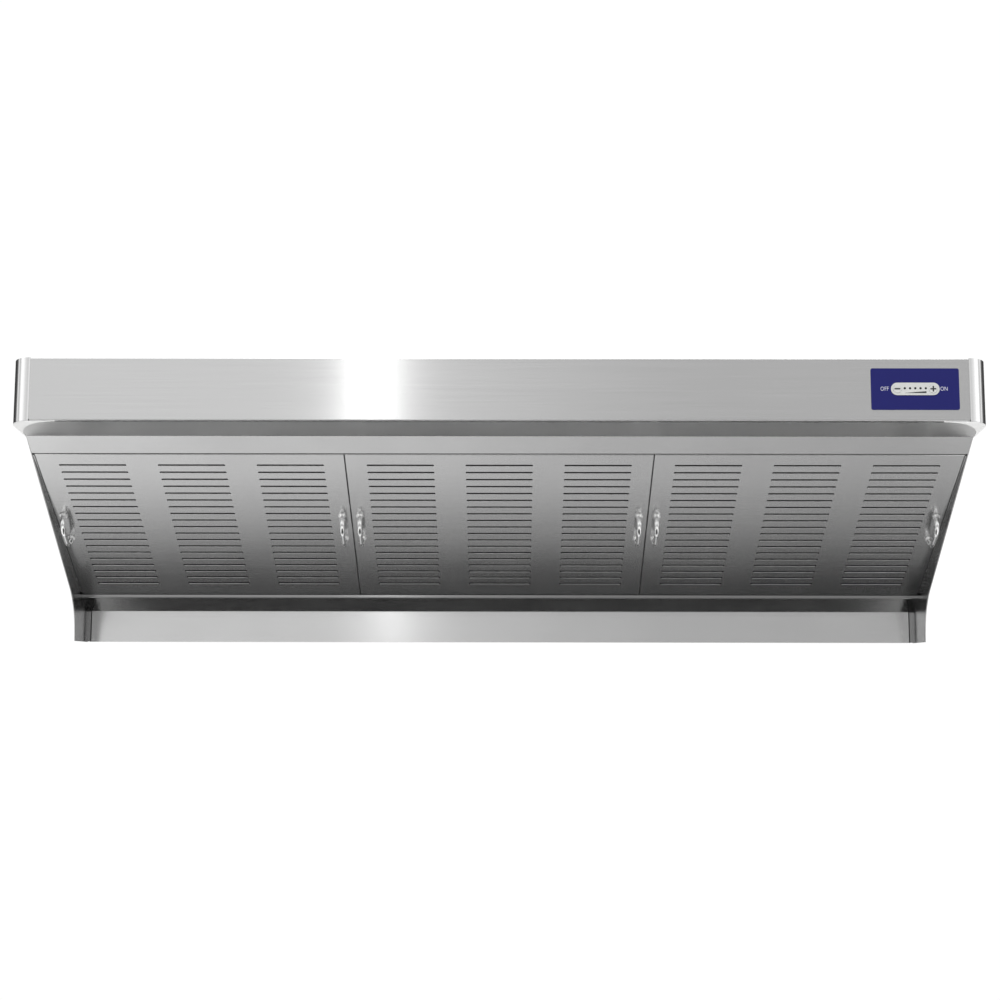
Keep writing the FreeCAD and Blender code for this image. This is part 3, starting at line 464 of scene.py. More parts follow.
@dataclass(frozen=True)
class BoardLaminate:
    """Glass-epoxy board under green solder resist, with copper tracks showing through.

    Attributes:
        name: Name of the finish.
        resist: Colour of the resist over bare board.
        track: Colour of the resist over copper.
        pitch_mm: Distance between tracks.
        copper_mm: Thickness of the copper.
    """

    name: str
    resist: str = "#1E4A2C"
    track: str = "#37753F"
    pitch_mm: float = 2.54
    copper_mm: float = 0.035

    def material(self) -> bpy.types.Material:
        """Build the finish.

        Returns:
            The material.
        """
        surface, tree, shader = new_surface(self.name)
        place = add_node(tree, "ShaderNodeTexCoord")
        tracks = add_node(
            tree, "ShaderNodeTexWave",
            {"Vector": place.outputs["Object"], "Scale": math.pi / 10 / (self.pitch_mm * MM),
             "Distortion": 3.0, "Detail": 0.0, "Detail Scale": 0.4},
            bands_direction="Z",
        )
        edge = add_node(
            tree, "ShaderNodeMapRange",
            {"Value": tracks.outputs["Fac"], "From Min": 0.55, "From Max": 0.65},
        )
        blend = add_node(
            tree, "ShaderNodeMixRGB",
            {"Fac": edge.outputs[0], "Color1": linear(self.resist), "Color2": linear(self.track)},
        )
        relief = add_node(
            tree, "ShaderNodeBump", {"Height": edge.outputs[0], "Distance": self.copper_mm * MM}
        )
        shader.inputs["Roughness"].default_value = 0.32
        tree.links.new(blend.outputs[0], shader.inputs["Base Color"])
        tree.links.new(relief.outputs[0], shader.inputs["Normal"])
        return surface


# ---- repeated shapes --------------------------------------------------------------------
class RepeatedShape:
    """A Geometry Nodes tree with named inputs that is run once and kept as a plain mesh."""

    SOCKETS = {int: "NodeSocketInt", float: "NodeSocketFloat", Vector: "NodeSocketVector"}

    def __init__(self, name: str, sizes: dict[str, Size], finish: bpy.types.Material) -> None:
        """Start a tree.

        Args:
            name: Name of the piece that it makes.
            sizes: Named inputs and their values: counts, lengths and offsets.
            finish: Material of the result.
        """
        self.name = name
        self.sizes = sizes
        self.finish = finish
        self.tree = bpy.data.node_groups.new(f"{name}_shape", "GeometryNodeTree")
        self.identifiers: dict[str, str] = {}
        for label, value in sizes.items():
            kind = self.SOCKETS[type(value)]
            socket = self.tree.interface.new_socket(label, in_out="INPUT", socket_type=kind)
            self.identifiers[label] = socket.identifier
        self.tree.interface.new_socket("Shape", in_out="OUTPUT", socket_type="NodeSocketGeometry")
        self.given = self.tree.nodes.new("NodeGroupInput")

    def size(self, label: str) -> bpy.types.NodeSocket:
        """Return the socket of a named input."""
        return self.given.outputs[label]

    def node(
        self, kind: str, inputs: dict[Input, Any] | None = None, **settings: Any
    ) -> bpy.types.Node:
        """Add a geometry node to the tree; the arguments are those of add_node."""
        return add_node(self.tree, f"GeometryNode{kind}", inputs, **settings)

    def eased_bar(self) -> bpy.types.NodeSocket:
        """Add a straight bar with rounded edges from the named inputs of its ends and section.

        Returns:
            Socket with the bar.
        """
        spine = self.node("CurvePrimitiveLine", {"Start": self.size("Start"), "End": self.size("End")})
        section = self.node(
            "CurvePrimitiveQuadrilateral", {"Width": self.size("Wide"), "Height": self.size("Thick")}
        )
        eased = self.node(
            "FilletCurve",
            {"Curve": section.outputs[0], "Radius": self.size("Easing"), "Count": self.size("Steps")},
            mode="POLY",
        )
        swept = self.node(
            "CurveToMesh",
            {"Curve": spine.outputs[0], "Profile Curve": eased.outputs[0], "Fill Caps": True},
        )
        return swept.outputs[0]

    def run(self, shape: bpy.types.NodeSocket, place: Matrix) -> bpy.types.Mesh:
        """Finish the tree, run it and keep the result.

        Args:
            shape: Geometry that the tree ends with.
            place: Where the result goes in the row frame.

        Returns:
            A plain mesh in the row frame, which shades smooth.
        """
        real = self.node("RealizeInstances", {"Geometry": shape})
        painted = self.node("SetMaterial", {"Geometry": real.outputs[0], "Material": self.finish})
        add_node(self.tree, "NodeGroupOutput", {"Shape": painted.outputs[0]})
        carrier = bpy.data.objects.new(self.name, bpy.data.meshes.new(self.name))
        bpy.context.scene.collection.objects.link(carrier)
        modifier = carrier.modifiers.new(self.name, "NODES")
        modifier.node_group = self.tree
        for label, value in self.sizes.items():
            modifier[self.identifiers[label]] = value
        graph = bpy.context.evaluated_depsgraph_get()
        mesh = bpy.data.meshes.new_from_object(carrier.evaluated_get(graph))
        carrier.modifiers.remove(modifier)
        bpy.data.objects.remove(carrier)
        bpy.data.node_groups.remove(self.tree)
        mesh.transform(place)
        mesh.polygons.foreach_set("use_smooth", [True] * len(mesh.polygons))
        return mesh


# ---- casing -----------------------------------------------------------------------------
@dataclass
class Casing:
    """Folded outer sheets, corner pieces, gutter and the rails behind them.

    Attributes:
        rivet_pitch: Distance between the rivets that hold the gutter to the back sheet.
        rivet_head: Radius of a rivet's head.
        rivet_rise: Height of a rivet's head.
        rivet_inset: Distance of the row from the gutter's upper edge.
        bead: Width of the dark bead in the corner of cheek and back sheet: a painted shadow line where
            the two sheets meet.
        strip_gap: Distance of a closing strip from the cassette beside it.
        strip_sheet: Thickness of a closing strip.
    """

    rivet_pitch: float = 160 * MM
    rivet_head: float = 3.2 * MM
    rivet_rise: float = 1.1 * MM
    rivet_inset: float = 12 * MM
    bead: float = 2.2 * MM
    strip_gap: float = 0.5 * MM
    strip_sheet: float = 1.0 * MM

    def dress(self) -> None:
        """Give each sheet the grain of the way it was cut and ground."""
        sheets = {
            ("fascia_panel",): BrushedSteel("brushed_steel_fascia", "#CFCFCF", 0.20, 0.80),
            ("left_corner_cap", "right_corner_cap"):
                BrushedSteel("brushed_steel_corner", "#F0F0F0", 0.12, 0.60),
            ("left_cheek", "right_cheek"):
                BrushedSteel("brushed_steel_cheek", "#A9A9A9", 0.24, 0.7, grain=Grain.ALONG_Y),
            ("underside_lip",): BrushedSteel("brushed_steel_lip", "#F2F2F2", 0.32, 0.6, Lie.LEVEL),
            ("header_trim",): BrushedSteel("brushed_steel_trim", "#CCCCCC", 0.20, 0.6, Lie.SLOPING),
            ("top_panel",): BrushedSteel("brushed_steel_top", "#C8C8C8", 0.28, 0.6, Lie.LEVEL),
            ("back_panel",): BrushedSteel("brushed_steel_back", "#D6D6D6", 0.22, 0.8),
            ("left_corner_gusset", "right_corner_gusset"):
                PlainMetal("bead_blasted_steel", "#FAFAFA", 0.5, 0.7, 0.02, metal=0.15),
            # The gutter is the same steel as the other sheets but darker: painted shade, for the gutter
            # lying in shadow at the foot of the filters.
            ("grease_gutter",): BrushedSteel("gutter_steel_painted_shade", "#8C8C8C", 0.16, 0.6, Lie.LEVEL),
            ("upper_wall_rail", "lower_wall_rail", "left_side_rail", "right_side_rail",
             "left_filter_divider", "right_filter_divider", "filter_catches"):
                PlainMetal("mill_finish_steel", "#AEB0B0", 0.36, 2.0, 0.008),
            ("collar_screws",): PlainMetal("zinc_plated_screws", "#C2C6C4", 0.24, 0.8, 0.004),
        }
        for names, finish in sheets.items():
            dress(names, finish.material())

    def gutter_rivets(self) -> bpy.types.Object:
        """Make the row of pop rivets through the back sheet into the gutter.

        Returns:
            The rivets as one piece.
        """
        low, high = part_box("back_panel")
        _, gutter_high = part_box("grease_gutter")
        count = int((high.x - low.x) / self.rivet_pitch)
        shape = RepeatedShape(
            "gutter_rivets",
            {"Count": count, "Pitch": Vector((self.rivet_pitch, 0.0, 0.0)), "Head": self.rivet_head,
             "Flattening": Vector((1.0, self.rivet_rise / self.rivet_head, 1.0))},
            PlainMetal("aluminium_rivets", "#C9CACB", 0.35, 0.6, 0.006).material(),
        )
        line = shape.node("MeshLine", {"Count": shape.size("Count"), "Offset": shape.size("Pitch")})
        ball = shape.node("MeshUVSphere", {"Segments": 20, "Rings": 10, "Radius": shape.size("Head")})
        flat = shape.node("Transform", {"Geometry": ball.outputs[0], "Scale": shape.size("Flattening")})
        heads = shape.node(
            "InstanceOnPoints", {"Points": line.outputs[0], "Instance": flat.outputs[0]}
        )
        start = Vector((
            (low.x + high.x - (count - 1) * self.rivet_pitch) / 2,
            high.y,
            gutter_high.z - self.rivet_inset,
        ))
        mesh = shape.run(heads.outputs[0], Matrix.Translation(start))
        return new_piece("gutter_rivets", "hood", mesh)

    def side_strips(self) -> None:
        """Lay the steel strips that close the gap between the outer cassettes and the cheeks."""
        finish = BrushedSteel(
            "brushed_steel_strip", "#BDBDBD", 0.26, 0.6, Lie.SLOPING, Grain.ALONG_Y
        ).material()
        for side, hand in HANDS.items():
            axes = FilterCassette(side).axes()
            flat = axes.transposed()
            face = [flat @ v.co for v in frame["nodes"][f"{side}_filter_face"].data.vertices]
            rail = [flat @ v.co for v in frame["nodes"][f"{side}_side_rail"].data.vertices]
            outer = max(hand * p.x for p in rail)
            inner = max(hand * p.x for p in face) + self.strip_gap
            front = min(p.z for p in face)
            top, foot = min(p.y for p in rail), max(p.y for p in rail)
            work = bmesh.new()
            bmesh.ops.create_cube(work, size=1.0)
            size = (outer - inner, foot - top, self.strip_sheet)
            middle = Vector(
                (hand * (outer + inner) / 2, (top + foot) / 2, front + self.strip_sheet / 2)
            )
            for vert in work.verts:
                vert.co = axes @ (middle + Vector([a * b for a, b in zip(vert.co, size)]))
            bmesh.ops.bevel(
                work, geom=list(work.edges), offset=self.strip_sheet / 4, segments=3, affect="EDGES"
            )
            name = f"{side}_side_strip"
            new_piece(name, "hood", mesh_from(work, name, finish))

    def shadow_line_beads(self) -> None:
        """Lay a dark bead in the corner between each cheek and the back sheet: a painted shadow line in
        the gap between them.
        """
        # The bead's near-black colour is painted shadow for the gap between cheek and back sheet.
        finish = Plastic("dark_bead_painted_shadow", "#2C2D2E", 0.5, 1.41, 1.5, 0.03).material()
        panel_low, panel_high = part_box("back_panel")
        heights = (panel_low.z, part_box("grease_gutter")[0].z)
        arc = [math.radians(15 * k) for k in range(7)]
        for side, hand in HANDS.items():
            x, y = (panel_high.x if hand > 0 else panel_low.x), panel_low.y
            hollow = [
                (x - hand * self.bead * (1 - math.sin(a)), y - self.bead * (1 - math.cos(a)))
                for a in arc
            ]
            work = bmesh.new()
            rings = [[work.verts.new((*spot, z)) for spot in [(x, y)] + hollow] for z in heights]
            count = len(rings[0])
            for k in range(count):
                n = (k + 1) % count
                work.faces.new((rings[0][k], rings[0][n], rings[1][n], rings[1][k]))
            work.faces.new(rings[0])
            work.faces.new(rings[1])
            name = f"{side}_shadow_line_bead"
            new_piece(name, "hood", mesh_from(work, name, finish))


# ---- filters ----------------------------------------------------------------------------
@dataclass
class FilterCassette:
    """One slotted lift-out cassette with the folded lips of its slots.

    Attributes:
        side: Name of the cassette: left, middle or right.
        columns: Slots beside each other.
        rows: Slots above each other.
        column_pitch: Distance between columns.
        row_pitch: Distance between rows.
        first_row: Distance of the first row from the cassette's upper edge.
        slot_length: Length of a slot.
        slot_width: Width of a slot.
        lip_depth: How far a lip is folded into the cassette.
        lip_sheet: Thickness of a lip.
        lip_proud: How far its rolled edge stands out of the face.
        lip_easing: Radius of a lip's edges, as a share of its thickness.
    """

    side: str
    columns: int = 3
    rows: int = 19
    column_pitch: float = 213 * MM
    row_pitch: float = 23.5 * MM
    first_row: float = 35.3 * MM
    slot_length: float = 145 * MM
    slot_width: float = 5 * MM
    lip_depth: float = 1.6 * MM
    lip_sheet: float = 1.0 * MM
    lip_proud: float = 0.35 * MM
    lip_easing: float = 0.45

    @property
    def body(self) -> str:
        """Return the CAD body of the cassette."""
        return f"{self.side}_filter"

    def axes(self) -> Matrix:
        """Return the turn from flat drawing axes to the filter plane: across, down, in."""
        joint = next(j for j in frame["joints"] if j["name"] == f"{self.side}_filter_out")
        inward = -Vector(joint["axis"]).normalized()
        across = Vector((1.0, 0.0, 0.0))
        down = inward.cross(across).normalized()
        return Matrix((across, down, inward)).transposed()

    def place(self) -> Matrix:
        """Return the place of the middle of the face's upper edge, with the plane's axes."""
        axes = self.axes()
        face = frame["nodes"][f"{self.side}_filter_face"]
        flat = [axes.transposed() @ v.co for v in face.data.vertices]
        corner = Vector((
            (min(p.x for p in flat) + max(p.x for p in flat)) / 2,
            min(p.y for p in flat),
            min(p.z for p in flat),
        ))
        return Matrix.Translation(axes @ corner) @ axes.to_4x4()

    def dress(self, finishes: "FilterFinishes") -> None:
        """Give the cassette's CAD nodes their finishes.

        Args:
            finishes: Finishes that the three cassettes share.
        """
        dress([f"{self.side}_filter_face"], finishes.face)
        dress([f"{self.side}_filter_back"], finishes.rear)
        dress([f"{self.side}_filter_baffle"], finishes.baffle)
        dress([f"{self.side}_filter_handles", f"{self.side}_filter_nuts"], finishes.chrome)

    def slot_lips(self, finish: bpy.types.Material) -> bpy.types.Object:
        """Make the rolled lip along the lower side of every slot.

        Args:
            finish: Material of the lips.

        Returns:
            The lips as one piece.
        """
        name = f"{self.side}_slot_lips"
        half = Vector(((self.slot_length - self.slot_width) / 2, 0.0, 0.0))
        across = self.column_pitch * (self.columns - 1)
        down = self.row_pitch * (self.rows - 1)
        shape = RepeatedShape(
            name,
            {"Columns": self.columns, "Rows": self.rows, "Across": across, "Down": down,
             "Start": -half, "End": half, "Wide": self.lip_depth, "Thick": self.lip_sheet,
             "Easing": self.lip_easing * self.lip_sheet, "Steps": 3},
            finish,
        )
        grid = shape.node(
            "MeshGrid",
            {"Size X": shape.size("Across"), "Size Y": shape.size("Down"),
             "Vertices X": shape.size("Columns"), "Vertices Y": shape.size("Rows")},
        )
        lips = shape.node(
            "InstanceOnPoints", {"Points": grid.outputs[0], "Instance": shape.eased_bar()}
        )
        under_slot = self.slot_width / 2 + self.lip_sheet / 2
        centre = Vector(
            (0.0, self.first_row + down / 2 + under_slot, self.lip_depth / 2 - self.lip_proud)
        )
        mesh = shape.run(lips.outputs[0], self.place() @ Matrix.Translation(centre))
        return new_piece(name, self.body, mesh)


@dataclass(frozen=True)
class FilterFinishes:
    """Finishes that the three cassettes share.

    Attributes:
        face: Slotted sheet that shows.
        rear: Vented rear sheet.
        baffle: Corrugated sheet inside, nearly black: painted shade inside the cassette, seen through
            the slots.
        chrome: Handles and their nuts.
        rolled: Rolled lips under the slots, rough and paler than the face: partly a painted highlight,
            for the bright line under each slot.
    """

    face: bpy.types.Material
    rear: bpy.types.Material
    baffle: bpy.types.Material
    chrome: bpy.types.Material
    rolled: bpy.types.Material

    @classmethod
    def make(cls) -> "FilterFinishes":
        """Build the finishes once for all cassettes."""
        return cls(
            BrushedSteel("brushed_steel_filter", "#CBCBCB", 0.20, 0.6, Lie.SLOPING).material(),
            BrushedSteel("brushed_steel_filter_rear", "#BCBCBC", 0.30, 0.6, Lie.SLOPING).material(),
            # The baffle's near-black colour is painted shade inside the cassette, so that the slots
            # read dark.
            PlainMetal("baffle_painted_shade", "#2B2B2B", 0.42, 3.0, 0.02).material(),
            PlainMetal("chrome_plate", "#FFFFFF", 0.22, 6.0, 0.001).material(),
            # The lips' pale colour is partly a painted highlight: it makes the bright line under each
            # slot.
            PlainMetal("pale_lip_painted_highlight", "#E4E4E4", 0.4, 0.8, 0.004).material(),
        )


# ---- controls ---------------------------------------------------------------------------
@dataclass
class ControlPanel:
    """Blue plate with the pill-shaped pad, its two keys, five level lights and their marks.

    Attributes:
        ink: Thickness of a printed mark.
        stroke: Width of the strokes of the two signs.
        reach: Length of the strokes of the two signs.
        wedge_length: Length of the rising level bar.
        wedge_height: Height of its tall end.
        wedge_tip: Height of its low end.
        wedge_drop: Distance of its foot under the pad's centre line.
        word_height: Height of the two words' capitals.
        word_gap: Distance of a word from the pad's end.
        word_lift: Height of the words' middle over the pad's.
        off_half: Distance from the gap to the middle of OFF.
        on_half: Distance from the gap to the middle of ON.
        letter_width: Width of a letter, as a share of the plain font's.
        letter_thinning: Change of a stroke's half-width, as a share of the font's height.
        dish: Depth of the hollow in a key's face.
        key_edge: Radius of a key's rim.
        key_land: Width of the flat ring between a key's rim and its hollow.
    """

    ink: float = 0.08 * MM
    stroke: float = 2.8 * MM
    reach: float = 12.0 * MM
    wedge_length: float = 45.0 * MM
    wedge_height: float = 4.0 * MM
    wedge_tip: float = 0.25 * MM
    wedge_drop: float = 8.9 * MM
    word_height: float = 8.4 * MM
    word_gap: float = 2.6 * MM
    word_lift: float = 0.6 * MM
    off_half: float = 10.2 * MM
    on_half: float = 6.8 * MM
    letter_width: float = 0.80
    letter_thinning: float = -0.012
    dish: float = 0.35 * MM
    key_edge: float = 0.5 * MM
    key_land: float = 0.9 * MM
    pad_finish: bpy.types.Material = field(init=False)
    ink_finish: bpy.types.Material = field(init=False)

    def dress(self) -> None:
        """Give the panel's CAD nodes their finishes."""
        self.pad_finish = Plastic(
            "silicone_pad", "#D6D7D5", 0.45, 1.41, 0.6, 0.008, shine=0.3
        ).material()
        self.ink_finish = Plastic("dark_screen_ink", "#2B2C2E", 0.55, 1.5, 0.5, 0.004).material()
        dress(["keypad_bezel", "minus_button", "plus_button"], self.pad_finish)
        parts = {
            ("control_plate",):
                Plastic("blue_polyester_film", "#202268", 0.36, 1.57, 0.5, 0.006, shine=0.16),
            ("level_lights",): Plastic("smoked_light_pipe", "#26282B", 0.16, 1.58, 2.0, 0.002),
            ("control_box", "supply_box"):
                Plastic("glass_filled_nylon", "#222324", 0.5, 1.53, 1.2, 0.03),
            ("key_switches",): Plastic("switch_body", "#1B1C1E", 0.4),
            ("control_board",): BoardLaminate("solder_resist"),
        }
        for names, finish in parts.items():
            dress(names, finish.material())

    def centre(self) -> Vector:
        """Return the middle of the pad's front face."""
        low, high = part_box("keypad_bezel")
        return Vector(((low.x + high.x) / 2, low.y, (low.z + high.z) / 2))

    def mark(
        self, name: str, body: str, outline: list[Corner], at: Vector, rise: float
    ) -> bpy.types.Object:
        """Put a dark mark on a face that looks to the front.

        Args:
            name: Name of the piece.
            body: CAD body that it moves with.
            outline: Outline in x and z about the mark's middle.
            at: Place of its middle on the face.
            rise: How far it stands off the face.

        Returns:
            The mark.
        """
        work = bmesh.new()
        rear = [work.verts.new((at.x + u, at.y, at.z + v)) for u, v in outline]
        cap = work.faces.new(rear)
        grown = bmesh.ops.extrude_face_region(work, geom=[cap])
        moved = [v for v in grown["geom"] if isinstance(v, bmesh.types.BMVert)]
        bmesh.ops.translate(work, verts=moved, vec=(0.0, -rise, 0.0))
        return new_piece(name, body, mesh_from(work, name, self.ink_finish))

    def key_cap(self, side: str) -> bpy.types.Object:
        """Make a round key with a rolled rim and a shallow finger dish.

        Args:
            side: Name of the key: minus or plus.

        Returns:
            The key, which stands for its CAD node.
        """
        low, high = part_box(f"{side}_button")
        radius, middle = (high.x - low.x) / 2, (low + high) / 2
        rim = [
            (radius - self.key_edge * (1 - math.sin(a)), low.y + self.key_edge * (1 - math.cos(a)))
            for a in (math.radians(15 * k) for k in range(7))
        ]
        hollow = radius - self.key_edge - self.key_land
        face = [
            (hollow * share, low.y + self.dish * (1 - share ** 2) ** 1.2)
            for share in (0.0, 0.3, 0.5, 0.7, 0.85, 0.95, 1.0)
        ]
        profile = face + rim + [(radius, high.y), (0.0, high.y)]
        sides = 64
        work = bmesh.new()
        rings = []
        for r, y in profile:
            ring = []
            for k in range(sides if r > 0 else 1):
                angle = 2 * math.pi * k / sides
                spot = (middle.x + r * math.cos(angle), y, middle.z + r * math.sin(angle))
                ring.append(work.verts.new(spot))
            rings.append(ring)
        for inner, outer in zip(rings, rings[1:]):
            for k in range(sides):
                corners = [inner[k % len(inner)], inner[(k + 1) % len(inner)],
                           outer[(k + 1) % len(outer)], outer[k % len(outer)]]
                unique = list(dict.fromkeys(corners))
                if len(unique) > 2:
                    work.faces.new(unique)
        mesh = mesh_from(work, f"{side}_key_cap", self.pad_finish)
        mesh.polygons.foreach_set("use_smooth", [True] * len(mesh.polygons))
        mesh.set_sharp_from_angle(angle=math.radians(50))
        cap = new_piece(f"{side}_key_cap", f"{side}_button", mesh)
        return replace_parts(cap, f"{side}_button")

    def signs(self) -> None:
        """Raise the minus and plus signs out of the dishes of the keys, up to their rims."""
        half, long = self.stroke / 2, self.reach / 2
        bar = [(-long, -half), (long, -half), (long, half), (-long, half)]
        cross = [
            (-long, -half), (-half, -half), (-half, -long), (half, -long), (half, -half), (long, -half),
            (long, half), (half, half), (half, long), (-half, long), (-half, half), (-long, half),
        ]
        for side, outline in (("minus", bar), ("plus", cross)):
            low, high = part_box(f"{side}_button")
            at = Vector(((low.x + high.x) / 2, low.y + self.dish, (low.z + high.z) / 2))
            self.mark(f"{side}_sign", f"{side}_button", outline, at, self.dish)

    def level_bar(self) -> None:
        """Print the wedge that rises from the first level light to the last."""
        half = self.wedge_length / 2
        outline = [(-half, 0.0), (half, 0.0), (half, self.wedge_height), (-half, self.wedge_tip)]
        at = self.centre() + Vector((0.0, 0.0, -self.wedge_drop))
        self.mark("level_bar", "hood", outline, at, self.ink)

    def word(self, text: str, middle: Vector, finish: bpy.types.Material) -> bpy.types.Object:
        """Print a word on the plate.

        Args:
            text: The word.
            middle: Middle of the word on the plate's face.
            finish: Ink of the word.

        Returns:
            The word.
        """
        name = f"{text.lower()}_word"
        curve = bpy.data.curves.new(name, "FONT")
        curve.body = text
        curve.align_x, curve.align_y = "CENTER", "CENTER"
        curve.extrude = self.ink / 2
        curve.offset = self.letter_thinning
        curve.resolution_u = 4
        carrier = bpy.data.objects.new(name, curve)
        bpy.context.scene.collection.objects.link(carrier)
        bpy.context.view_layer.update()
        mesh = bpy.data.meshes.new_from_object(carrier)
        bpy.data.objects.remove(carrier)
        top = max(v.co.y for v in mesh.vertices)
        low = min(v.co.y for v in mesh.vertices)
        scale = self.word_height / (top - low)
        mesh.transform(Matrix.Translation((0.0, -(top + low) / 2, 0.0)))
        mesh.transform(Matrix.Diagonal((scale * self.letter_width, scale, 1.0, 1.0)))
        mesh.transform(Matrix.Rotation(math.radians(90), 4, "X"))
        mesh.transform(Matrix.Translation(middle))
        mesh.materials.clear()
        mesh.materials.append(finish)
        return new_piece(name, "hood", mesh)

    def words(self) -> None:
        """Print the two words beside the pad."""
        finish = Plastic("pale_screen_ink", "#E6E6F2", 0.5, 1.5, 0.5, 0.004).material()
        low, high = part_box("keypad_bezel")
        plate_low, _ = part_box("control_plate")
        y, z = plate_low.y - self.ink / 2, (low.z + high.z) / 2 + self.word_lift
        self.word("OFF", Vector((low.x - self.word_gap - self.off_half, y, z)), finish)
        self.word("ON", Vector((high.x + self.word_gap + self.on_half, y, z)), finish)


# ---- blower and inlet -------------------------------------------------------------------
@dataclass
class Blower:
    """Fan, motor, collar and gland.

    Attributes:
        ribs: Grip ribs round the gland's cap.
        rib_width: Width of a rib.
        rib_height: Height of a rib.
        rib_easing: Radius of a rib's edges, as a share of its width.
        cap_radius: Radius of the gland's cap.
        cap_foot: Height of the cap's foot over the top sheet.
    """

    ribs: int = 20
    rib_width: float = 1.6 * MM
    rib_height: float = 7.0 * MM
    rib_easing: float = 0.3
    cap_radius: float = 11.4 * MM
    cap_foot: float = 6.6 * MM

    def dress(self) -> None:
        """Give the blower's CAD nodes their finishes."""
        parts = {
            ("scroll_wrapper", "left_scroll_side", "right_scroll_side", "outlet_flange",
             "motor_bracket", "duct_collar", "impeller_wheel", "impeller_blades"):
                GalvanisedSteel("galvanised_sheet"),
            ("motor_shaft",): PlainMetal("ground_shaft_steel", "#C4C6C8", 0.18, 0.6, 0.003),
            ("motor",): PlainMetal("cast_aluminium", "#A7A9AB", 0.5, 1.4, 0.08),
            ("cable_gland",): Plastic("black_polyamide", "#26272A", 0.42, 1.53, 1.0, 0.02),
        }
        for names, finish in parts.items():
            dress(names, finish.material())

    def gland_ribs(self) -> bpy.types.Object:
        """Make the grip ribs round the gland's compression cap.

        Returns:
            The ribs as one piece.
        """
        low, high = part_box("cable_gland")
        shape = RepeatedShape(
            "gland_ribs",
            {"Count": self.ribs, "Ring": self.cap_radius, "Start": Vector((0.0, 0.0, 0.0)),
             "End": Vector((0.0, 0.0, self.rib_height)), "Wide": self.rib_width,
             "Thick": self.rib_width, "Easing": self.rib_easing * self.rib_width, "Steps": 2},
            Plastic("black_polyamide_ribs", "#26272A", 0.42, 1.53, 1.0, 0.02).material(),
        )
        ring = shape.node(
            "MeshCircle", {"Vertices": shape.size("Count"), "Radius": shape.size("Ring")}
        )
        turned = add_node(
            shape.tree, "FunctionNodeAlignEulerToVector",
            {"Vector": shape.node("InputNormal").outputs[0]}, axis="X",
        )
        ribs = shape.node(
            "InstanceOnPoints",
            {"Points": ring.outputs[0], "Instance": shape.eased_bar(),
             "Rotation": turned.outputs[0]},
        )
        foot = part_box("top_panel")[1].z + self.cap_foot
        base = Matrix.Translation(((low.x + high.x) / 2, (low.y + high.y) / 2, foot))
        return new_piece("gland_ribs", "hood", shape.run(ribs.outputs[0], base))


# ---- studio -----------------------------------------------------------------------------
# Brightness of the studio's light, as stops of a place from 0 to 1 and the tone there.
# By bearing, from straight ahead of the hood to straight behind it.
ROUND_TONES: Stops = (
    (0.0, 0.86), (0.10, 0.86), (0.156, 0.62), (0.23, 0.73), (0.27, 0.90), (0.31, 1.05),
    (0.39, 1.10), (0.43, 0.68), (0.475, 0.48), (0.52, 0.90), (0.545, 0.60), (0.57, 0.20),
    (0.62, 0.075), (0.68, 0.05), (0.95, 0.03), (1.0, 0.20),
)
# By height, from straight down to straight up.
HIGH_TONES: Stops = (
    (0.0, 0.9), (0.10, 0.7), (0.25, 0.16), (0.46, 0.35), (0.55, 1.0), (0.8, 1.0), (1.0, 1.3),
)
# By side, from well left to well right.
SIDE_TONES: Stops = (
    (0.0, 1.12), (0.40, 1.12), (0.47, 1.02), (0.51, 0.92), (0.55, 0.85), (0.61, 0.76),
    (0.70, 0.78), (0.77, 0.76), (0.90, 1.05), (1.0, 1.20),
)
# Down the card on the wall, from its top to the floor.
CARD_TONES: Stops = ((0.0, 0.06), (0.10, 0.06), (0.30, 0.45), (0.50, 1.0), (1.0, 1.1))


@dataclass(frozen=True)
class Lamp:
    """Soft rectangular lamp.

    Attributes:
        name: Name of the lamp.
        at: Its place.
        aim: Point that it faces.
        size: Its width and height.
        power: Its power in watts.
    """

    name: str
    at: Place
    aim: Place
    size: tuple[float, float]
    power: float

    def hang(self) -> None:
        """Put the lamp into the scene."""
        data = bpy.data.lights.new(self.name, "AREA")
        data.shape = "RECTANGLE"
        data.size, data.size_y = self.size
        data.energy = self.power
        lamp = bpy.data.objects.new(self.name, data)
        lamp.location = self.at
        lamp.rotation_mode = "QUATERNION"
        lamp.rotation_quaternion = (Vector(self.aim) - Vector(self.at)).to_track_quat("-Z", "Y")
        lamp.visible_camera = False
        bpy.context.scene.collection.objects.link(lamp)


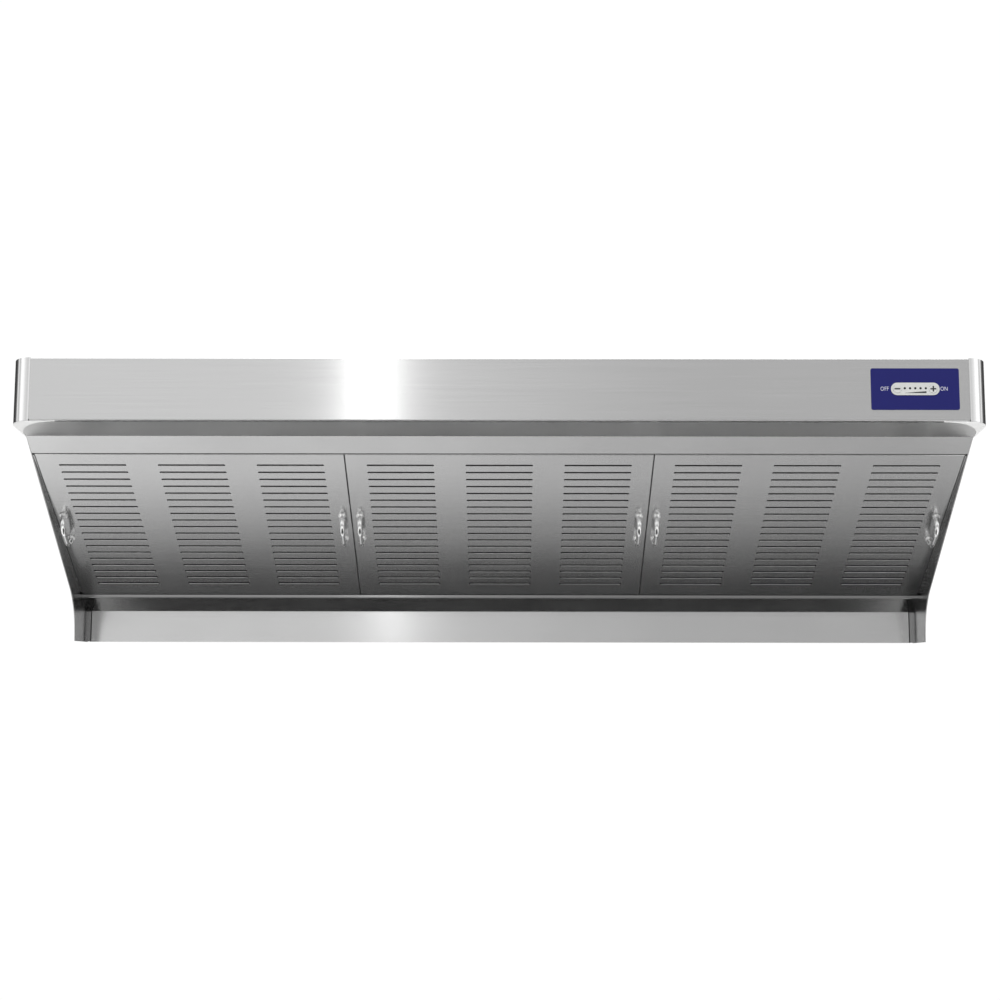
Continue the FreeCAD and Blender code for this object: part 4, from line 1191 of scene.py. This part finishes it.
@dataclass
class Studio:
    """Pale floor, white backdrop, soft lights and the cards that the steel mirrors.

    Attributes:
        floor_drop: Height of the hood's foot over the floor.
        floor_radius: Radius of the floor.
        backdrop_radius: Radius of the white backdrop.
        band: Heights of a line of sight, as the sine of its rise, between which the tones by
            bearing come in, and between which they go out again.
        wall_half: Half the width of the card on the wall.
        wall_gap: Distance of that card behind the hood.
        wall_drop: Distance of its top under the hood.
        lean_reach: Distance from the middle to where its tone stops changing along x.
        lean: Strength of its glow there, on the left and on the right.
        dark_half: Half the width of the dark card.
        dark_depth: Depth of that card under the hood's foot.
        dark_edges: Places of its front and back edges along y.
    """

    floor_drop: float = 1.9
    floor_radius: float = 7.0
    backdrop_radius: float = 16.0
    band: Stops = ((0.0, 0.10), (0.40, 0.65))
    wall_half: float = 3.0
    wall_gap: float = 0.03
    wall_drop: float = 0.01
    lean_reach: float = 1.3
    lean: tuple[float, float] = (1.16, 0.62)
    dark_half: float = 1.25
    dark_depth: float = 0.9
    dark_edges: tuple[float, float] = (-1.7, -0.3)

    def world(self) -> None:
        """Fill the studio with soft light that is brightest above and beside the camera."""
        world = bpy.data.worlds.new("studio")
        world.use_nodes = True
        tree = world.node_tree
        tree.nodes.clear()
        place = add_node(tree, "ShaderNodeTexCoord")
        way = add_node(tree, "ShaderNodeSeparateXYZ", {0: place.outputs["Generated"]})
        aside = add_node(tree, "ShaderNodeMath", {0: way.outputs[0]}, operation="ABSOLUTE")
        ahead = add_node(tree, "ShaderNodeMath", {0: way.outputs[1], 1: -1.0}, operation="MULTIPLY")
        bearing = add_node(
            tree, "ShaderNodeMath", {0: aside.outputs[0], 1: ahead.outputs[0]}, operation="ARCTAN2"
        )
        turn = add_node(tree, "ShaderNodeMath", {0: bearing.outputs[0], 1: math.pi}, operation="DIVIDE")
        round_tones = self.ramp(tree, turn.outputs[0], ROUND_TONES)
        height = add_node(
            tree, "ShaderNodeMapRange", {"Value": way.outputs[2], "From Min": -1.0, "From Max": 1.0}
        )
        high_tones = self.ramp(tree, height.outputs[0], HIGH_TONES)
        across = add_node(
            tree, "ShaderNodeMapRange", {"Value": way.outputs[0], "From Min": -0.5, "From Max": 0.5}
        )
        side_tones = self.ramp(tree, across.outputs[0], SIDE_TONES)
        (rise, risen), (fall, fallen) = self.band
        over = add_node(
            tree, "ShaderNodeMapRange", {"Value": way.outputs[2], "From Min": rise, "From Max": risen}
        )
        under = add_node(
            tree, "ShaderNodeMapRange",
            {"Value": way.outputs[2], "From Min": fall, "From Max": fallen, "To Min": 1.0,
             "To Max": 0.0},
        )
        band = add_node(
            tree, "ShaderNodeMath", {0: over.outputs[0], 1: under.outputs[0]}, operation="MULTIPLY"
        )
        change = add_node(tree, "ShaderNodeMath", {0: round_tones, 1: 1.0}, operation="SUBTRACT")
        banded = add_node(
            tree, "ShaderNodeMath", {0: change.outputs[0], 1: band.outputs[0], 2: 1.0},
            operation="MULTIPLY_ADD",
        )
        strength = banded.outputs[0]
        for tones in (high_tones, side_tones):
            product = add_node(tree, "ShaderNodeMath", {0: strength, 1: tones}, operation="MULTIPLY")
            strength = product.outputs[0]
        light = add_node(
            tree, "ShaderNodeBackground", {"Color": (1.0, 1.0, 1.0, 1.0), "Strength": strength}
        )
        add_node(tree, "ShaderNodeOutputWorld", {"Surface": light.outputs[0]})
        bpy.context.scene.world = world

    def ramp(
        self, tree: bpy.types.NodeTree, feed: bpy.types.NodeSocket, stops: Stops
    ) -> bpy.types.NodeSocket:
        """Add a curve of brightness.

        Args:
            tree: Tree that takes it.
            feed: Socket that runs from 0 to 1.
            stops: Places and their brightness.

        Returns:
            Socket with the brightness.
        """
        top = max(value for _, value in stops)
        node = add_node(tree, "ShaderNodeValToRGB", {"Fac": feed})
        node.color_ramp.interpolation = "EASE"
        elements = node.color_ramp.elements
        while len(elements) > 1:
            elements.remove(elements[-1])
        elements[0].position = stops[0][0]
        for position, _ in stops[1:]:
            elements.new(position)
        for element, (_, value) in zip(elements, stops):
            element.color = (value / top, value / top, value / top, 1.0)
        scaled = add_node(tree, "ShaderNodeMath", {0: node.outputs[0], 1: top}, operation="MULTIPLY")
        return scaled.outputs[0]

    def prop(
        self, name: str, mesh: bpy.types.Mesh, material: bpy.types.Material
    ) -> bpy.types.Object:
        """Put a mesh into the scene as a stage piece.

        Args:
            name: Name of the piece.
            mesh: Its mesh.
            material: Its finish.

        Returns:
            The stage piece.
        """
        piece = bpy.data.objects.new(name, mesh)
        bpy.context.scene.collection.objects.link(piece)
        mesh.materials.append(material)
        piece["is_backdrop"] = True
        return piece

    def sheet(
        self, name: str, corners: list[Place], material: bpy.types.Material
    ) -> bpy.types.Object:
        """Make a flat stage piece.

        Args:
            name: Name of the piece.
            corners: Its corners, in order.
            material: Its finish.

        Returns:
            The stage piece.
        """
        mesh = bpy.data.meshes.new(name)
        mesh.from_pydata(corners, [], [list(range(len(corners)))])
        return self.prop(name, mesh, material)

    def floor(self) -> None:
        """Lay the plain pale floor."""
        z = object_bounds()[0].z - self.floor_drop
        sides = 96
        ring = [
            (self.floor_radius * math.cos(2 * math.pi * k / sides),
             self.floor_radius * math.sin(2 * math.pi * k / sides), z)
            for k in range(sides)
        ]
        surface, tree, shader = new_surface("pale_floor")
        place = add_node(tree, "ShaderNodeTexCoord")
        grain = add_node(
            tree, "ShaderNodeTexNoise", {"Vector": place.outputs["Object"], "Scale": 2.0, "Detail": 2.0}
        )
        tone = add_node(
            tree, "ShaderNodeMapRange", {"Value": grain.outputs[0], "To Min": 0.97, "To Max": 1.0}
        )
        tinted = add_node(
            tree, "ShaderNodeVectorMath",
            {0: linear("#F0F0EF")[:3], "Scale": tone.outputs[0]}, operation="SCALE",
        )
        tree.links.new(tinted.outputs[0], shader.inputs["Base Color"])
        shader.inputs["Roughness"].default_value = 0.9
        self.sheet("floor", ring, surface)

    def backdrop(self) -> None:
        """Hang the white backdrop that only the camera sees."""
        work = bmesh.new()
        bmesh.ops.create_icosphere(work, subdivisions=4, radius=self.backdrop_radius)
        mesh = bpy.data.meshes.new("backdrop")
        work.to_mesh(mesh)
        work.free()
        dome = self.prop("backdrop", mesh, self.glow("white_backdrop", 1.02))
        self.only_seen_by(dome, camera=True)

    def glow(self, name: str, strength: float) -> bpy.types.Material:
        """Make a white material that glows evenly.

        Args:
            name: Name of the material.
            strength: Strength of its glow.

        Returns:
            The material.
        """
        material, _, light = new_surface(name, "ShaderNodeEmission")
        light.inputs["Strength"].default_value = strength
        return material

    def only_seen_by(
        self, piece: bpy.types.Object, camera: bool = False, glossy: bool = False
    ) -> None:
        """Choose what sees a stage piece.

        Args:
            piece: The stage piece.
            camera: Whether the camera sees it.
            glossy: Whether mirrors see it.
        """
        piece.visible_camera = camera
        piece.visible_glossy = glossy
        for ray in ("diffuse", "transmission", "volume_scatter", "shadow"):
            setattr(piece, f"visible_{ray}", False)

    def stand_wall_card(self) -> None:
        """Stand a card behind and under the hood, dark at its top and pale below."""
        low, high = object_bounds()
        half, y = self.wall_half, high.y + self.wall_gap
        top, foot = low.z - self.wall_drop, low.z - self.floor_drop
        material, tree, light = new_surface("graded_card", "ShaderNodeEmission")
        place = add_node(tree, "ShaderNodeTexCoord")
        way = add_node(tree, "ShaderNodeSeparateXYZ", {0: place.outputs["Object"]})
        down = add_node(
            tree, "ShaderNodeMapRange", {"Value": way.outputs[2], "From Min": top, "From Max": foot}
        )
        tones = self.ramp(tree, down.outputs[0], CARD_TONES)
        left, right = self.lean
        lean = add_node(
            tree, "ShaderNodeMapRange",
            {"Value": way.outputs[0], "From Min": -self.lean_reach, "From Max": self.lean_reach,
             "To Min": left, "To Max": right},
        )
        tone = add_node(tree, "ShaderNodeMath", {0: tones, 1: lean.outputs[0]}, operation="MULTIPLY")
        tree.links.new(tone.outputs[0], light.inputs["Strength"])
        corners = [(-half, y, foot), (half, y, foot), (half, y, top), (-half, y, top)]
        self.only_seen_by(self.sheet("wall_card", corners, material), glossy=True)

    def lay_dark_card(self) -> None:
        """Lay a dark card in front of the hood's foot, which the gutter's underside mirrors."""
        half, z = self.dark_half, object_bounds()[0].z - self.dark_depth
        front, back = self.dark_edges
        corners = [(-half, front, z), (half, front, z), (half, back, z), (-half, back, z)]
        card = self.sheet("dark_card", corners, self.glow("black_card", 0.05))
        self.only_seen_by(card, glossy=True)

    def hang_lamps(self) -> None:
        """Hang the strip beside the camera and the soft boxes over and behind the hood."""
        low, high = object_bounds()
        fascia = (0.0, low.y, (low.z + high.z) / 2)
        for lamp in (
            Lamp("strip", (-0.56, -4.3, 1.2), (-0.2, low.y, 0.1), (0.12, 1.5), 2.2),
            Lamp("over_camera", (0.6, -2.2, 3.6), fascia, (3.0, 1.6), 45.0),
            Lamp("over_hood", (0.0, 0.6, 3.2), (0.0, -0.3, 0.2), (5.0, 3.4), 75.0),
            Lamp("behind", (1.5, 4.2, 3.6), (0.0, 0.0, 0.0), (4.6, 3.0), 60.0),
        ):
            lamp.hang()

    def build(self) -> None:
        """Set the whole stage."""
        self.world()
        self.floor()
        self.backdrop()
        self.stand_wall_card()
        self.lay_dark_card()
        self.hang_lamps()
        bpy.context.scene.view_settings.view_transform = "Standard"


@dataclass
class Camera:
    """Long-lens camera below the hood, tilted up and shifted to frame it.

    Attributes:
        aside: Distance to the right of the hood's middle.
        ahead: Distance in front of the fascia.
        below: Distance under the cheeks' feet.
        tilt: Degrees that it looks up.
        turn: Degrees that it looks to the left.
        roll: Degrees that it leans.
        lens: Focal length in millimetres on a 36 mm sensor.
        shift: Upward shift of the frame, as a share of its width.
    """

    aside: float = 0.0160
    ahead: float = 3.3350
    below: float = 0.5484
    tilt: float = 7.678
    turn: float = 0.220
    roll: float = 0.119
    lens: float = 60.62
    shift: float = 0.15

    def build(self) -> None:
        """Place the camera and make it the scene's own."""
        low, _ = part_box("fascia_panel")
        foot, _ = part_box("left_cheek")
        data = bpy.data.cameras.new("camera")
        data.sensor_width = 36.0
        data.lens = self.lens
        data.shift_y = self.shift
        camera = bpy.data.objects.new("camera", data)
        spot = Matrix.Translation((self.aside, low.y - self.ahead, foot.z - self.below))
        turn = Matrix.Rotation(math.radians(self.turn), 4, "Z")
        tilt = Matrix.Rotation(math.radians(90.0 + self.tilt), 4, "X")
        roll = Matrix.Rotation(math.radians(self.roll), 4, "Z")
        camera.matrix_world = spot @ turn @ tilt @ roll
        bpy.context.scene.collection.objects.link(camera)
        bpy.context.scene.camera = camera


def main() -> None:
    """Dress the frame, build the fine parts and set the stage."""
    logging.basicConfig(level=logging.INFO, format="%(name)s: %(message)s")
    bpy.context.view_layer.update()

    Camera().build()

    casing = Casing()
    casing.dress()
    casing.gutter_rivets()
    casing.shadow_line_beads()
    casing.side_strips()

    filter_finishes = FilterFinishes.make()
    for side in ("left", "middle", "right"):
        cassette = FilterCassette(side)
        cassette.dress(filter_finishes)
        cassette.slot_lips(filter_finishes.rolled)

    panel = ControlPanel()
    panel.dress()
    panel.key_cap("minus")
    panel.key_cap("plus")
    panel.signs()
    panel.level_bar()
    panel.words()

    blower = Blower()
    blower.dress()
    blower.gland_ribs()

    Studio().build()


if __name__ == "__main__":
    main()
